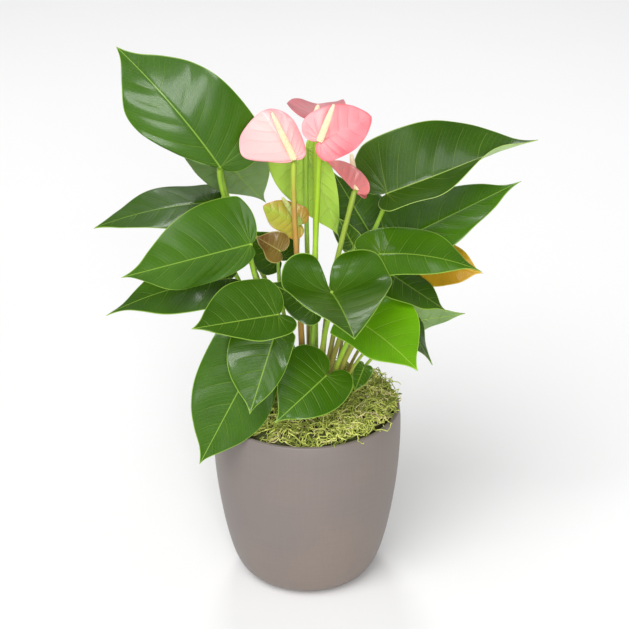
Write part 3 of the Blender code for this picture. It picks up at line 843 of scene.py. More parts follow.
        lift += self.wave * np.sin(value["row"] * 15 + value["side"] * 2 + self.root[0]) * (
            value["s"] ** 2.5 * np.sin(math.pi * value["row"]) ** 0.7)
        lift -= 0.5 * np.exp(-(value["rib"] / 1.3) ** 2) * (1 - value["along"])
        middle = points + normals * lift[:, None]
        thickness = thick / 2 * np.clip(0.45 + value["margin"] / 2, 0.45, 1.0)
        keel = 0.9 * np.exp(-(value["rib"] / 0.9) ** 2) * (1 - 0.8 * value["along"])
        upper = middle + normals * thickness[:, None]
        lower = middle - normals * (thickness + keel)[:, None]
        numbers = {key: value[key] for key in ("pitch", "margin", "rib", "along")}
        # per-leaf darkening, partly the leaf's own tone and partly painted shade
        numbers["shade"] = np.full(len(points), self.shade)
        if blush is not None:
            numbers["blush"] = blush.at(value)
        count = len(points)
        edges: dict[tuple[int, int], tuple[Pair, Pair]] = {}
        for face, face_corners in zip(faces, corners):
            for k, start in enumerate(face):
                n = (k + 1) % len(face)
                if edges.pop((face[n], start), None) is None:
                    edges[(start, face[n])] = (face_corners[k], face_corners[n])
        rim = [[a, b, count + b, count + a][::-1] for a, b in edges]
        rim_corners = [[first, second, second, first][::-1] for first, second in edges.values()]
        under = [[count + index for index in face[::-1]] for face in faces]
        doubled = {key: np.concatenate([column, column]) for key, column in numbers.items()}
        shell.add(np.vstack([upper, lower]), faces + under + rim,
                  corners + [face[::-1] for face in corners] + rim_corners, slot,
                  below=np.repeat([0.0, 1.0], count), **doubled)

    def stem_path(self, radius: float, steps: int = 44) -> np.ndarray:
        """Return the centre line of the stem, from the potting mix into the blade's underside."""
        root = np.array([*self.root, RIM_HEIGHT - MIX_DROP + FIT_GAP + 0.3 * radius])
        normal = self.normal()
        end = place(self.base) - normal * (BLADE_THICK / 2 + FIT_GAP + radius)
        rise = end[2] - root[2]
        lean = np.array(self.lean)
        first = root + np.array([0, 0, 0.55 * rise]) + lean
        arrive = unit(unit(self.arrive) - 0.4 * normal)
        last = end + arrive * 0.25 * rise + lean
        t = np.linspace(0, 1, steps + 1)[:, None]
        line = (1 - t) ** 3 * root + 3 * (1 - t) ** 2 * t * first + 3 * (1 - t) * t * t * last + t ** 3 * end
        return np.vstack([line, place(self.base) - normal * radius * 0.35])

    def radii(self, radius: float, steps: int) -> np.ndarray:
        """Return the stem's radius along its path, with the swollen joint under the blade."""
        t = np.linspace(0, 1, steps)
        joint = 0.16 * np.exp(-((t - 0.93) / 0.05) ** 2)
        sheath = 0.45 * np.exp(-(t / 0.10) ** 2)
        return radius * (1.10 - 0.20 * t + joint + sheath)


@dataclass(frozen=True)
class Blush:
    """How deep a spathe's colour is: at its foot, its tip, on each half and along its edge."""

    foot: float = 0.2
    tip: float = 0.3
    left: float = 0.1
    right: float = 0.1
    edge: float = 0.1

    def at(self, value: dict[str, np.ndarray]) -> np.ndarray:
        """Return the blush at each point of a blade."""
        half = np.where(value["side"] > 0, self.left, self.right)
        return self.foot + (self.tip - self.foot) * value["along"] + half * value["s"] + (
            self.edge * value["s"] ** 3)


def point_normals(points: np.ndarray, faces: Sequence[Sequence[int]]) -> np.ndarray:
    """Return a unit normal for each point of an open skin."""
    corners = np.array([face if len(face) == 4 else [*face, face[-1]] for face in faces])
    cross = np.cross(points[corners[:, 2]] - points[corners[:, 0]],
                     points[corners[:, 3]] - points[corners[:, 1]])
    slim = np.array([len(face) == 3 for face in faces])
    thin = np.cross(points[corners[:, 1]] - points[corners[:, 0]],
                    points[corners[:, 2]] - points[corners[:, 0]])
    cross[slim] = thin[slim]
    total = np.zeros_like(points)
    for k in range(4):
        np.add.at(total, corners[:, k], cross)
    return total / np.maximum(np.linalg.norm(total, axis=1, keepdims=True), 1e-12)


def place(point: Sequence[float]) -> np.ndarray:
    """Turn a point measured from the rim's centre into millimetres from the pot's base."""
    return np.array([point[0], point[1], point[2] + RIM_HEIGHT], dtype=float)


class Skin(Enum):
    """The finish of each kind of leaf, with the record's slot that it stands for."""

    GREEN = LeafFinish("leaf_green_gloss", (0.043, 0.128, 0.001), (0.028, 0.092, 0.001),
                       (0.24, 0.37, 0.14), (0.30, 0.48, 0.06)), "leaf_green"
    PALE_BACK = LeafFinish("leaf_green_pale_back", (0.043, 0.128, 0.001), (0.028, 0.092, 0.001),
                           (0.50, 0.70, 0.27), (0.42, 0.58, 0.12)), "leaf_green"
    # painted backlight: this lighter green is partly the leaf's own, partly light shining through the leaf
    # painted into its colour
    BRIGHT_PAINTED_BACKLIGHT = LeafFinish("leaf_green_painted_backlight", (0.125, 0.34, 0.001), (0.09, 0.28, 0.001),
                        (0.22, 0.36, 0.11), (0.40, 0.60, 0.08)), "leaf_green"
    # painted backlight: the pale green, brighter below than above, is partly the leaf's own and partly light
    # shining through it painted into the colour
    PALE = LeafFinish("leaf_green_pale", (0.24, 0.44, 0.035), (0.36, 0.62, 0.035),
                      (0.50, 0.76, 0.10), (0.56, 0.72, 0.17), roughness=0.4), "leaf_pale"
    YELLOW = LeafFinish("leaf_yellowing", (0.52, 0.30, 0.010), (0.46, 0.22, 0.010),
                        (0.58, 0.38, 0.03), (0.66, 0.50, 0.06), roughness=0.42), "leaf_yellow"
    BRONZE = LeafFinish("leaf_young_bronze", (0.20, 0.14, 0.02), (0.13, 0.05, 0.015),
                        (0.24, 0.22, 0.04), (0.45, 0.40, 0.12)), "leaf_bronze"


@dataclass
class Leaf:
    """A leaf: its blade and the petiole that carries it."""

    name: str
    blade: Blade
    skin: Skin = Skin.GREEN
    one_piece: bool = False

    def build(self, skins: dict[Skin, bpy.types.Material], stem: bpy.types.Material) -> None:
        """Make the leaf's pieces and hand them over.

        Args:
            skins: The finished leaf materials.
            stem: The petiole's material.
        """
        radius = PETIOLE_RADIUS * (SMALL_STEM if self.one_piece else 1.0)
        path = self.blade.stem_path(radius)
        shell = Shell()
        self.blade.add_to(shell)
        if self.one_piece:
            tube(shell, path, self.blade.radii(radius, len(path)), slot=1, ribs=0.03)
            report(shell.piece(self.name + ".grown", "veins", [skins[self.skin], stem]),
                   self.skin.value[1], self.name)
            return
        report(shell.piece(self.name + ".blade", "veins", [skins[self.skin]]),
               self.skin.value[1], self.name + "_blade")
        stalk = Shell()
        tube(stalk, path, self.blade.radii(radius, len(path)), ribs=0.03)
        report(stalk.piece(self.name + ".petiole", "stem", [stem]), "petiole", self.name + "_petiole")


@dataclass
class Flower:
    """A flower: stalk, spathe and the spadix of many florets."""

    name: str
    blade: Blade
    spadix_tip: Point
    blush: Blush
    spathe: SpatheFinish
    spathe_slot: str
    stalk: StemFinish
    spadix: SpadixFinish
    spadix_slot: str = "spadix_cream"

    def build(self, florets: "Florets") -> None:
        """Make the flower's three pieces and hand them over."""
        path = self.blade.stem_path(STALK_RADIUS)
        stalk = Shell()
        tube(stalk, path, self.blade.radii(STALK_RADIUS, len(path)), ribs=0.03)
        report(stalk.piece(self.name + ".stalk", "stem", [self.stalk.material()]), "flower_stalk",
               self.name + "_stalk")
        shell = Shell()
        self.blade.add_to(shell, thick=SPATHE_THICK, blush=self.blush)
        report(shell.piece(self.name + ".spathe", "veins", [self.spathe.material()]), self.spathe_slot,
               self.name + "_spathe")
        start = place(self.blade.base) + self.blade.normal() * (BLADE_THICK / 2)
        piece = florets.grow(self.name + ".spadix", start, place(self.spadix_tip),
                             self.spadix.material())
        report(piece, self.spadix_slot, self.name + "_spadix")


# ---------------------------------------------------------------- what repeats
class Growth:
    """A geometry node tree being written, with its named sizes."""

    def __init__(self, name: str, sizes: dict[str, float | int]) -> None:
        """Start a tree with one geometry input and a named input for each size."""
        self.tree = bpy.data.node_groups.new(name, "GeometryNodeTree")
        self.tree.interface.new_socket("Geometry", in_out="INPUT", socket_type="NodeSocketGeometry")
        self.tree.interface.new_socket("Geometry", in_out="OUTPUT", socket_type="NodeSocketGeometry")
        for key, value in sizes.items():
            kind = "NodeSocketInt" if isinstance(value, int) else "NodeSocketFloat"
            self.tree.interface.new_socket(key, in_out="INPUT", socket_type=kind).default_value = value
        self.start = self.tree.nodes.new("NodeGroupInput")
        self.end = self.tree.nodes.new("NodeGroupOutput")

    def node(self, kind: str, settings: dict[str, object], inputs: dict[int | str, object],
             output: int | str = 0) -> bpy.types.NodeSocket:
        """Add any node and return one of its outputs; inputs are values or other outputs."""
        node = self.tree.nodes.new(kind)
        for key, value in settings.items():
            setattr(node, key, value)
        for key, value in inputs.items():
            if isinstance(value, bpy.types.NodeSocket):
                self.tree.links.new(value, node.inputs[key])
            else:
                node.inputs[key].default_value = value
        return node.outputs[output]

    def sum(self, operation: str, *values: object) -> bpy.types.NodeSocket:
        """Add a Math node."""
        return self.node("ShaderNodeMath", {"operation": operation}, dict(enumerate(values)))

    def finish(self, geometry: bpy.types.NodeSocket, material: bpy.types.Material) -> None:
        """End the tree in real, smooth, finished faces."""
        real = self.node("GeometryNodeRealizeInstances", {}, {0: geometry})
        smooth = self.node("GeometryNodeSetShadeSmooth", {}, {0: real})
        dressed = self.node("GeometryNodeSetMaterial", {}, {0: smooth, "Material": material})
        self.tree.links.new(dressed, self.end.inputs[0])

    def mesh(self, carrier: bpy.types.Object, sizes: dict[str, float | int]) -> bpy.types.Mesh:
        """Run the tree on a carrier and return the result as a plain mesh.

        Args:
            carrier: The object that the tree works on.
            sizes: Values of the named inputs.

        Returns:
            The finished mesh; the carrier loses the modifier.
        """
        modifier = carrier.modifiers.new(self.tree.name, "NODES")
        modifier.node_group = self.tree
        for item in self.tree.interface.items_tree:
            if item.in_out == "INPUT" and item.name in sizes:
                modifier[item.identifier] = sizes[item.name]
        graph = bpy.context.evaluated_depsgraph_get()
        result = bpy.data.meshes.new_from_object(carrier.evaluated_get(graph))
        carrier.modifiers.remove(modifier)
        return result


@dataclass
class Florets:
    """The spadix: a tapered core set all over with florets in a golden-angle spiral."""

    count: int = 420
    floret: float = 0.00056
    golden_turn: float = math.pi * (3 - math.sqrt(5))
    core: float = 0.86  # radius of the core as a share of the spadix's
    seat: float = 0.92  # radius at which the florets sit, likewise
    blunt: float = 0.72  # how much of the radius the rounded tip takes away
    blunt_power: float = 5.0
    taper: float = 0.18  # how much narrower the tip is than the foot

    def grow(self, name: str, start: np.ndarray, end: np.ndarray,
             material: bpy.types.Material) -> bpy.types.Object:
        """Make one spadix.

        Args:
            name: The piece's name.
            start: The middle of its foot, in millimetres.
            end: Its tip.
            material: Its finish.

        Returns:
            The piece, placed.
        """
        length = float(np.linalg.norm(end - start)) * MM
        core = Shell()
        steps = np.linspace(0, 1, 24)
        radii = np.array([self.girth(t) for t in steps]) * SPADIX_RADIUS * self.core
        tube(core, np.stack([steps * 0, steps * 0, steps * length / MM], axis=1), radii, sides=20)
        carrier = core.piece(name, "stem", [material])
        tree = Growth(name, {"Florets": self.count, "Length": length, "Radius": SPADIX_RADIUS * MM,
                             "Floret size": self.floret})
        size = tree.start.outputs
        index = tree.node("GeometryNodeInputIndex", {}, {})
        up = tree.sum("DIVIDE", tree.sum("ADD", index, 0.5), size["Florets"])
        angle = tree.sum("MULTIPLY", index, self.golden_turn)
        tip_loss = tree.sum("MULTIPLY", tree.sum("POWER", up, self.blunt_power), self.blunt)
        slim = tree.sum("SUBTRACT", 1.0, tip_loss)
        reach = tree.sum("MULTIPLY", tree.sum("MULTIPLY", slim, size["Radius"]), self.seat)
        narrow = tree.sum("SUBTRACT", 1.0, tree.sum("MULTIPLY", up, self.taper))
        reach = tree.sum("MULTIPLY", reach, narrow)
        where = tree.node("ShaderNodeCombineXYZ", {}, {
            0: tree.sum("MULTIPLY", tree.sum("COSINE", angle), reach),
            1: tree.sum("MULTIPLY", tree.sum("SINE", angle), reach),
            2: tree.sum("MULTIPLY", up, size["Length"])})
        points = tree.node("GeometryNodePoints", {}, {"Count": size["Florets"], "Position": where})
        bud = tree.node("GeometryNodeMeshUVSphere", {}, {
            "Segments": 6, "Rings": 4, "Radius": size["Floret size"]})
        buds = tree.node("GeometryNodeInstanceOnPoints", {}, {"Points": points, "Instance": bud})
        join = tree.tree.nodes.new("GeometryNodeJoinGeometry")
        tree.tree.links.new(tree.start.outputs[0], join.inputs[0])
        tree.tree.links.new(buds, join.inputs[0])
        height = tree.node("ShaderNodeSeparateXYZ", {}, {
            0: tree.node("GeometryNodeInputPosition", {}, {})}, 2)
        real = tree.node("GeometryNodeRealizeInstances", {}, {0: join.outputs[0]})
        marked = tree.node("GeometryNodeStoreNamedAttribute", {"data_type": "FLOAT", "domain": "POINT"}, {
            "Geometry": real, "Name": "up_spadix", "Value": tree.sum("DIVIDE", height, size["Length"])})
        tree.finish(marked, material)
        carrier.data = tree.mesh(carrier, {"Florets": self.count, "Length": length})
        axis = unit(end - start)
        across = unit(np.cross(axis, (0.2, 1.0, 0.1)))
        turn = np.stack([across, np.cross(axis, across), axis])
        flat = np.empty(len(carrier.data.vertices) * 3)
        carrier.data.vertices.foreach_get("co", flat)
        placed = flat.reshape(-1, 3) @ turn + start * MM
        carrier.data.vertices.foreach_set("co", placed.ravel())
        carrier.data.update()
        carrier.data.name = name
        return carrier

    def girth(self, up: float) -> float:
        """Return how thick the spadix is at a height of 0 to 1, as a share of its radius."""
        return (1 - self.blunt * up ** self.blunt_power) * (1 - self.taper * up)


@dataclass
class Moss:
    """The cushion of curly moss that fills the pot's mouth round the stems."""

    density: float = 88000.0
    curl: float = 0.0080
    thickness: float = 0.00045
    seed: int = 7
    rings: int = 46
    around: int = 150
    lump_span: float = 9.0
    lump_height: float = 2.2
    bump_height: float = 1.1
    bump_share: float = 3.3  # how many bumps stand across one lump

    def height(self, radius: float) -> float:
        """Return the cushion's height above the rim at a radius, in millimetres."""
        lip = POT_MOUTH - 0.8
        span = lip - CLUMP_RADIUS
        profile = ((0.0, -5.5), (11.0, -3.5), (CLUMP_RADIUS * 0.7, 3.5), (CLUMP_RADIUS, 0.75 * MOSS_CROWN),
                   (lip - 0.75 * span, 0.92 * MOSS_CROWN), (lip - 0.50 * span, 0.72 * MOSS_CROWN),
                   (lip - 0.25 * span, 0.25 * MOSS_CROWN), (lip - 0.08 * span, -5.0), (lip, -8.5))
        return float(np.interp(radius, [r for r, _ in profile], [h for _, h in profile]))

    def top(self, radii: np.ndarray) -> tuple[np.ndarray, list[list[int]]]:
        """Return the bumpy top as points and faces, for rings of the given radii."""
        points = []
        for radius in radii:
            for k in range(self.around):
                angle = 2 * math.pi * k / self.around
                x, y = radius * math.cos(angle), radius * math.sin(angle)
                spot = Vector((x / self.lump_span, y / self.lump_span, 3.1))
                lump = (self.lump_height * noise.noise(spot)
                        + self.bump_height * noise.noise(spot * self.bump_share))
                points.append((x, y, RIM_HEIGHT + self.height(radius) + lump))
        faces = []
        for i in range(len(radii) - 1):
            for k in range(self.around):
                n = (k + 1) % self.around
                a, b = i * self.around, (i + 1) * self.around
                faces.append([a + k, b + k, b + n, a + n])
        return np.array(points), faces

    def cushion(self, material: bpy.types.Material) -> bpy.types.Object:
        """Make the solid cushion under the strands."""
        radii = np.linspace(1.5, POT_MOUTH - 0.9, self.rings)
        points, faces = self.top(radii)
        floor = RIM_HEIGHT - MIX_DROP + FIT_GAP
        low = points.copy()
        low[:, 2] = floor
        count = len(points)
        edge = (self.rings - 1) * self.around
        under = [[count + index for index in face[::-1]] for face in faces]
        wall = []
        for k in range(self.around):
            n = (k + 1) % self.around
            wall.append([edge + k, count + edge + k, count + edge + n, edge + n])
            wall.append([k, n, count + n, count + k])
        every = faces + under + wall
        shell = Shell()
        everything = np.vstack([points, low])
        shell.add(everything, every, [[(everything[i][0] / 20, everything[i][1] / 20) for i in face]
                                      for face in every])
        return shell.piece("moss.cushion", "moss", [material])

    def strands(self, material: bpy.types.Material) -> bpy.types.Object:
        """Grow the curly strands over the cushion's top."""
        points, faces = self.top(np.linspace(5.0, POT_MOUTH - 6.5, 30))
        reach = np.hypot(points[:, 0], points[:, 1])
        swell = np.clip((reach - 45) / 25, 0, 1) * np.clip(points[:, 0] / 60, 0, 1)
        points[:, :2] *= (1 + 0.11 * swell)[:, None]
        points[:, 2] += 5.0 * swell
        shell = Shell()
        shell.add(points, faces, [[(0.0, 0.0)] * 4 for _ in faces])
        carrier = shell.piece("moss.strands", "moss", [material])
        tree = Growth("moss strands", {"Density": self.density, "Curl radius": self.curl,
                                       "Thickness": self.thickness, "Seed": self.seed})
        size = tree.start.outputs
        spread = tree.tree.nodes.new("GeometryNodeDistributePointsOnFaces")
        tree.tree.links.new(size[0], spread.inputs["Mesh"])
        tree.tree.links.new(size["Density"], spread.inputs["Density"])
        tree.tree.links.new(size["Seed"], spread.inputs["Seed"])
        strand = tree.node("GeometryNodeCurveSpiral", {}, {
            "Resolution": 18, "Rotations": 1.3,
            "Start Radius": tree.sum("MULTIPLY", size["Curl radius"], 0.35),
            "End Radius": size["Curl radius"],
            "Height": tree.sum("MULTIPLY", size["Curl radius"], 0.5)})
        tilt = tree.node("FunctionNodeRandomValue", {"data_type": "FLOAT_VECTOR"}, {
            0: (-0.9, -0.9, 0.0), 1: (0.9, 0.9, 2 * math.pi), "Seed": size["Seed"]})
        scale = tree.node("FunctionNodeRandomValue", {"data_type": "FLOAT"}, {2: 0.45, 3: 1.25, "Seed": 3}, 1)
        placed = tree.node("GeometryNodeInstanceOnPoints", {}, {
            "Points": spread.outputs["Points"], "Instance": strand, "Rotation": tilt, "Scale": scale})
        tone = tree.node("FunctionNodeRandomValue", {"data_type": "FLOAT"}, {2: 0.0, 3: 1.0, "Seed": 11}, 1)
        toned = tree.node("GeometryNodeStoreNamedAttribute", {"data_type": "FLOAT", "domain": "INSTANCE"}, {
            "Geometry": placed, "Name": "tone", "Value": tone})
        real = tree.node("GeometryNodeRealizeInstances", {}, {0: toned})
        crinkle = tree.node("ShaderNodeTexNoise", {}, {"Scale": 190.0, "Detail": 1.0}, "Color")
        centred = tree.node("ShaderNodeVectorMath", {"operation": "SUBTRACT"}, {
            0: crinkle, 1: (0.5, 0.5, 0.5)})
        amount = tree.node("ShaderNodeVectorMath", {"operation": "SCALE"}, {
            0: centred, "Scale": tree.sum("MULTIPLY", size["Curl radius"], 1.7)})
        bent = tree.node("GeometryNodeSetPosition", {}, {"Geometry": real, "Offset": amount})
        section = tree.node("GeometryNodeCurvePrimitiveCircle", {}, {
            "Resolution": 3, "Radius": size["Thickness"]})
        strands = tree.node("GeometryNodeCurveToMesh", {}, {
            "Curve": bent, "Profile Curve": section, "Fill Caps": True})
        tree.finish(strands, material)
        carrier.data = tree.mesh(carrier, {"Density": self.density, "Seed": self.seed})
        carrier.data.name = "moss.strands"
        return carrier

    def build(self) -> None:
        """Make the cushion and its strands and hand them over."""
        # painted shade: the cushion's dark colours stand for the shade deep among the strands
        under = MossFinish("moss_cushion_painted_shade", (0.085, 0.10, 0.02), (0.030, 0.030, 0.008))
        over = MossFinish("moss_strand", (0.78, 0.84, 0.19), (0.25, 0.31, 0.04), (0.76, 0.62, 0.38))
        report(self.cushion(under.material()), "moss", "moss")
        report(self.strands(over.material()), "moss", "moss")


@dataclass
class Pot:
    """The cover pot, turned about its axis: flat foot, full belly, thin rounded lip."""

    profile: tuple[Pair, ...] = (
        (0.0, 0.590), (0.012, 0.645), (0.04, 0.715), (0.09, 0.778), (0.17, 0.835),
        (0.30, 0.895), (0.45, 0.945), (0.62, 0.985), (0.80, 1.006), (0.94, 1.006), (1.0, 0.993),
    )
    flats: int = 192
    centre: float = 8.0  # radius of the last ring before the middle, inside and below

    def outside(self) -> np.ndarray:
        """Return the outside as (radius, height) in millimetres, foot to rim."""
        return smooth_line([(r * RIM_RADIUS, h * RIM_HEIGHT) for h, r in self.profile], 70)

    def build(self, finish: GlazeFinish) -> None:
        """Make the pot and hand it over."""
        outside = self.outside()
        rim = outside[-1][0]
        turns = np.linspace(0, math.pi, 11)[1:-1]
        lip = [(rim - POT_WALL / 2 + POT_WALL / 2 * math.cos(a), RIM_HEIGHT + LIP_BEAD * math.sin(a))
               for a in turns]
        heights = np.linspace(RIM_HEIGHT, POT_FLOOR + 2, 30)
        walls = np.interp(heights, outside[:, 1], outside[:, 0]) - POT_WALL
        inside = list(zip(walls, heights))
        foot = inside[-1][0]
        inside += [(foot - 0.7, POT_FLOOR + 0.6), (foot - 2.4, POT_FLOOR), (self.centre, POT_FLOOR)]
        sole = [(self.centre, 0.0), (outside[0][0] - 1.2, 0.0), (outside[0][0] - 0.2, 0.25)]
        rings = sole + [tuple(p) for p in outside[1:]] + lip + inside
        angles = np.linspace(0, 2 * math.pi, self.flats, endpoint=False)
        points = np.array([(r * math.cos(a), r * math.sin(a), z) for r, z in rings for a in angles])
        points = np.vstack([points, [(0, 0, 0), (0, 0, POT_FLOOR)]])
        run = np.concatenate([[0], np.cumsum(np.linalg.norm(np.diff(np.array(rings), axis=0), axis=1))])
        run /= run[-1]
        shell = Shell()
        shell.add(points, *wound(self.flats, run, 0.0))
        report(shell.piece("cover_pot.glazed", "turned", [finish.material()]), "pot_glaze", "cover_pot")


def dress_inner_nodes() -> None:
    """Give the two hidden nodes of the frame their own finishes."""
    for node, finish in (("grower_pot", PlasticFinish()), ("potting_mix", MixFinish())):
        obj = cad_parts[node]
        obj.data.materials.clear()
        obj.data.materials.append(finish.material())
        LOG.info("%s dressed", node)


# ---------------------------------------------------------------- the plant's own measures
# shade below 1 darkens a leaf's green: partly its own tone, partly painted shade on leaves lying under or
# behind others
LEAVES: dict[str, Blade] = {
    "leaf_top_left": Blade(
        base=(-65, 10, 197), tip=(-140.5, 25, 286), face=(0, -1, 0.42), arch=6, half=(32, 43), lobe=(4, 14),
        outline=(Outline.FOLDED, Outline.FULL), sway=-3, root=(-18, 8), lean=(1, -5, 0)),
    "leaf_top_left_rear": Blade(
        base=(-66, 42, 194), tip=(-32, 50, 153), face=(0.3, 1, 0.5), half=(34, 36), lobe=(22, 14), drop=10,
        root=(-14, 15), lean=(5, 0, 0)),
    "leaf_left_rear": Blade(
        base=(-75, 40, 157), tip=(-164, 18, 144), face=(0, -0.1, 1), half=34, lobe=12, arch=4,
        outline=(Outline.FULL, Outline.FULL), root=(-24, 5), shade=0.85),
    "leaf_left_front": Blade(
        base=(-41, -40, 155), tip=(-134, -70, 141), face=(0, -0.9, 0.8), half=(25, 41), lobe=(3, 9),
        outline=(Outline.SHALLOW, Outline.HEART), cup=(-50, 0), root=(-17, -8)),
    "leaf_left_low": Blade(
        base=(-59, -12, 115), tip=(-151, -36, 95), face=(0, -0.2, 1), half=(38, 32), lobe=9, arch=6,
        root=(-26, -5), shade=0.85),
    "leaf_front_left": Blade(
        base=(-21, -62, 108), tip=(-83, -85, 107), face=(0, -0.7, 1), half=(20, 34), lobe=(12, 8),
        outline=(Outline.HEART, Outline.FULL), root=(-5, -13), arrive=(0.4, 1, -0.4), shade=0.8),
    "leaf_front_shade": Blade(
        base=(8, -16, 94), tip=(-30, -18, 115), face=(0, -1, 0.7), half=17, lobe=7, root=(2, -10),
        shade=0.62),
    "leaf_front_centre": Blade(
        base=(19, -68, 128), tip=(34, -137, 124), face=(0, 0, 1), half=(46, 36), lobe=40, arch=3,
        drop=(-105, -105), cup=(8, 8), outline=(Outline.DEEP, Outline.DEEP), root=(8, -13),
        arrive=(0, 1, -0.7), shade=0.9),
    "leaf_front_right": Blade(
        base=(34, -52, 101), tip=(82, -85, 73), face=(0.2, -0.5, 1), half=(42, 24), lobe=(10, 6), arch=4,
        outline=(Outline.FULL, Outline.FULL), root=(16, -18)),
    "leaf_right_shade": Blade(
        base=(71, -12, 91), tip=(97, -30, 50), face=(1, -0.3, 1), half=22, lobe=10, root=(22, -15),
        shade=0.7),
    "leaf_right_low": Blade(
        base=(68, 12, 66), tip=(125, 15, 73), face=(0, 1, 0.3), half=(14, 18), lobe=10, root=(27, -2)),
    "leaf_right_under": Blade(
        base=(66, -18, 120), tip=(107, -32, 96), face=(0.3, -0.3, 1), half=(22, 24), lobe=6,
        root=(20, -7), shade=0.8),
    "leaf_right_mid": Blade(
        base=(55, -28, 142), tip=(130, -45, 135), face=(0, -0.35, 1), half=(32, 20), lobe=22, arch=6,
        cup=(0, -20), root=(14, -10), arrive=(-0.2, 1, -0.6)),
    "leaf_right_high": Blade(
        base=(73, 8, 139), tip=(165, 28, 179), face=(0, -0.35, 1), half=(38, 30), lobe=8, root=(19, 1)),
    "leaf_top_right": Blade(
        base=(62, 20, 172), tip=(177, 35, 210), face=(0, -0.9, 0.5), half=(44, 36), lobe=(20, 10), arch=4,
        cup=(0, 60), twist=-65, twist_from=0.25, outline=(Outline.FULL, Outline.FULL), root=(18, 10),
        lean=(-8, 0, 0), shade=0.72),
    "leaf_old_yellow": Blade(
        base=(96, 12, 119), tip=(136, 0, 114), face=(0, -1, 1), half=20, lobe=8, root=(26, 6),
        lean=(0, 10, 0)),
    "leaf_centre_pale": Blade(
        base=(0, 35, 202), tip=(28, 45, 123), face=(0, 1, 0.3), half=(33, 14), lobe=(12, 8), root=(2, 24),
        lean=(0, 7, 0)),
    "leaf_young_bronze": Blade(
        base=(-20, -10, 137), tip=(-39, -10, 149), face=(0, -0.8, 1), half=14, lobe=4, cup=20,
        root=(-11, -3)),
    "leaf_rear_left": Blade(
        base=(-20.5, 18.5, 118), tip=(-43.5, 30, 138), face=(0, -0.6, 1), half=20, lobe=6,
        root=(-11, 9), shade=0.65),
    "leaf_low_left": Blade(
        base=(-23, -56, 90), tip=(-42, -86, 37), face=(0, -1, 0.7), half=(16, 31), lobe=(6, 8),
        outline=(Outline.FULL, Outline.FULL), root=(-5, -22), arrive=(0.9, 1, -0.3), shade=0.85),
    "leaf_hanging_left": Blade(
        base=(-34, -42, 71), tip=(-82, -68, -16), face=(0.2, -1, 0.6), half=(29, 36), lobe=6,
        outline=(Outline.SHALLOW, Outline.FULL), root=(-20, -15), shade=0.92),
    "leaf_low_centre": Blade(
        base=(15, -46, 49), tip=(-24, -76, 24), face=(-0.1, -1, 0.4), half=(24, 32), lobe=(16, 12), arch=3,
        root=(8, -24), shade=0.92),
    "leaf_moss_small": Blade(
        base=(45, -5, 35), tip=(37, -20, 21), face=(0.3, -1, 0.6), half=8, lobe=4, root=(27, -9)),
    "leaf_rear_right": Blade(
        base=(51, 55, 124), tip=(21, 82, 167), face=(0, -1, 0.5), half=26, lobe=12, root=(22, 15), shade=0.8),
    "leaf_rear_small": Blade(
        base=(35, 5, 137), tip=(24, 15, 155), face=(-0.5, -1, 0.4), half=9, lobe=4, root=(13, 4), shade=0.7),
}
ONE_PIECE = (
    "leaf_moss_small", "leaf_rear_small", "leaf_young_bronze", "leaf_rear_left", "leaf_front_shade",
    "leaf_right_shade", "leaf_old_yellow", "leaf_rear_right", "leaf_right_low",
)
SKINS = {
    "leaf_top_right": Skin.PALE_BACK,
    "leaf_front_right": Skin.BRIGHT_PAINTED_BACKLIGHT,
    "leaf_centre_pale": Skin.PALE,
    "leaf_old_yellow": Skin.YELLOW,
    "leaf_young_bronze": Skin.BRONZE,
}
CREAM = SpadixFinish("spadix_cream", (0.98, 0.88, 0.60), (0.85, 0.62, 0.36), (0.98, 0.82, 0.60))
GREENING = SpadixFinish("spadix_greening", (0.42, 0.55, 0.12), (0.25, 0.30, 0.05), (0.60, 0.62, 0.22))
PETIOLE_SKIN = StemFinish("petiole_green", (0.30, 0.52, 0.035), (0.34, 0.27, 0.05), (0.42, 0.26, 0.10))
LIME_STALK = StemFinish("stalk_lime", (0.36, 0.58, 0.02), (0.30, 0.50, 0.03), (0.5, 0.45, 0.15))
OLIVE_STALK = StemFinish("stalk_olive", (0.30, 0.42, 0.04), (0.28, 0.28, 0.05), (0.45, 0.35, 0.12))
ORANGE_STALK = StemFinish("stalk_orange", (0.38, 0.52, 0.04), (0.48, 0.26, 0.05), (0.30, 0.14, 0.04),
                          (0.78, 0.95))
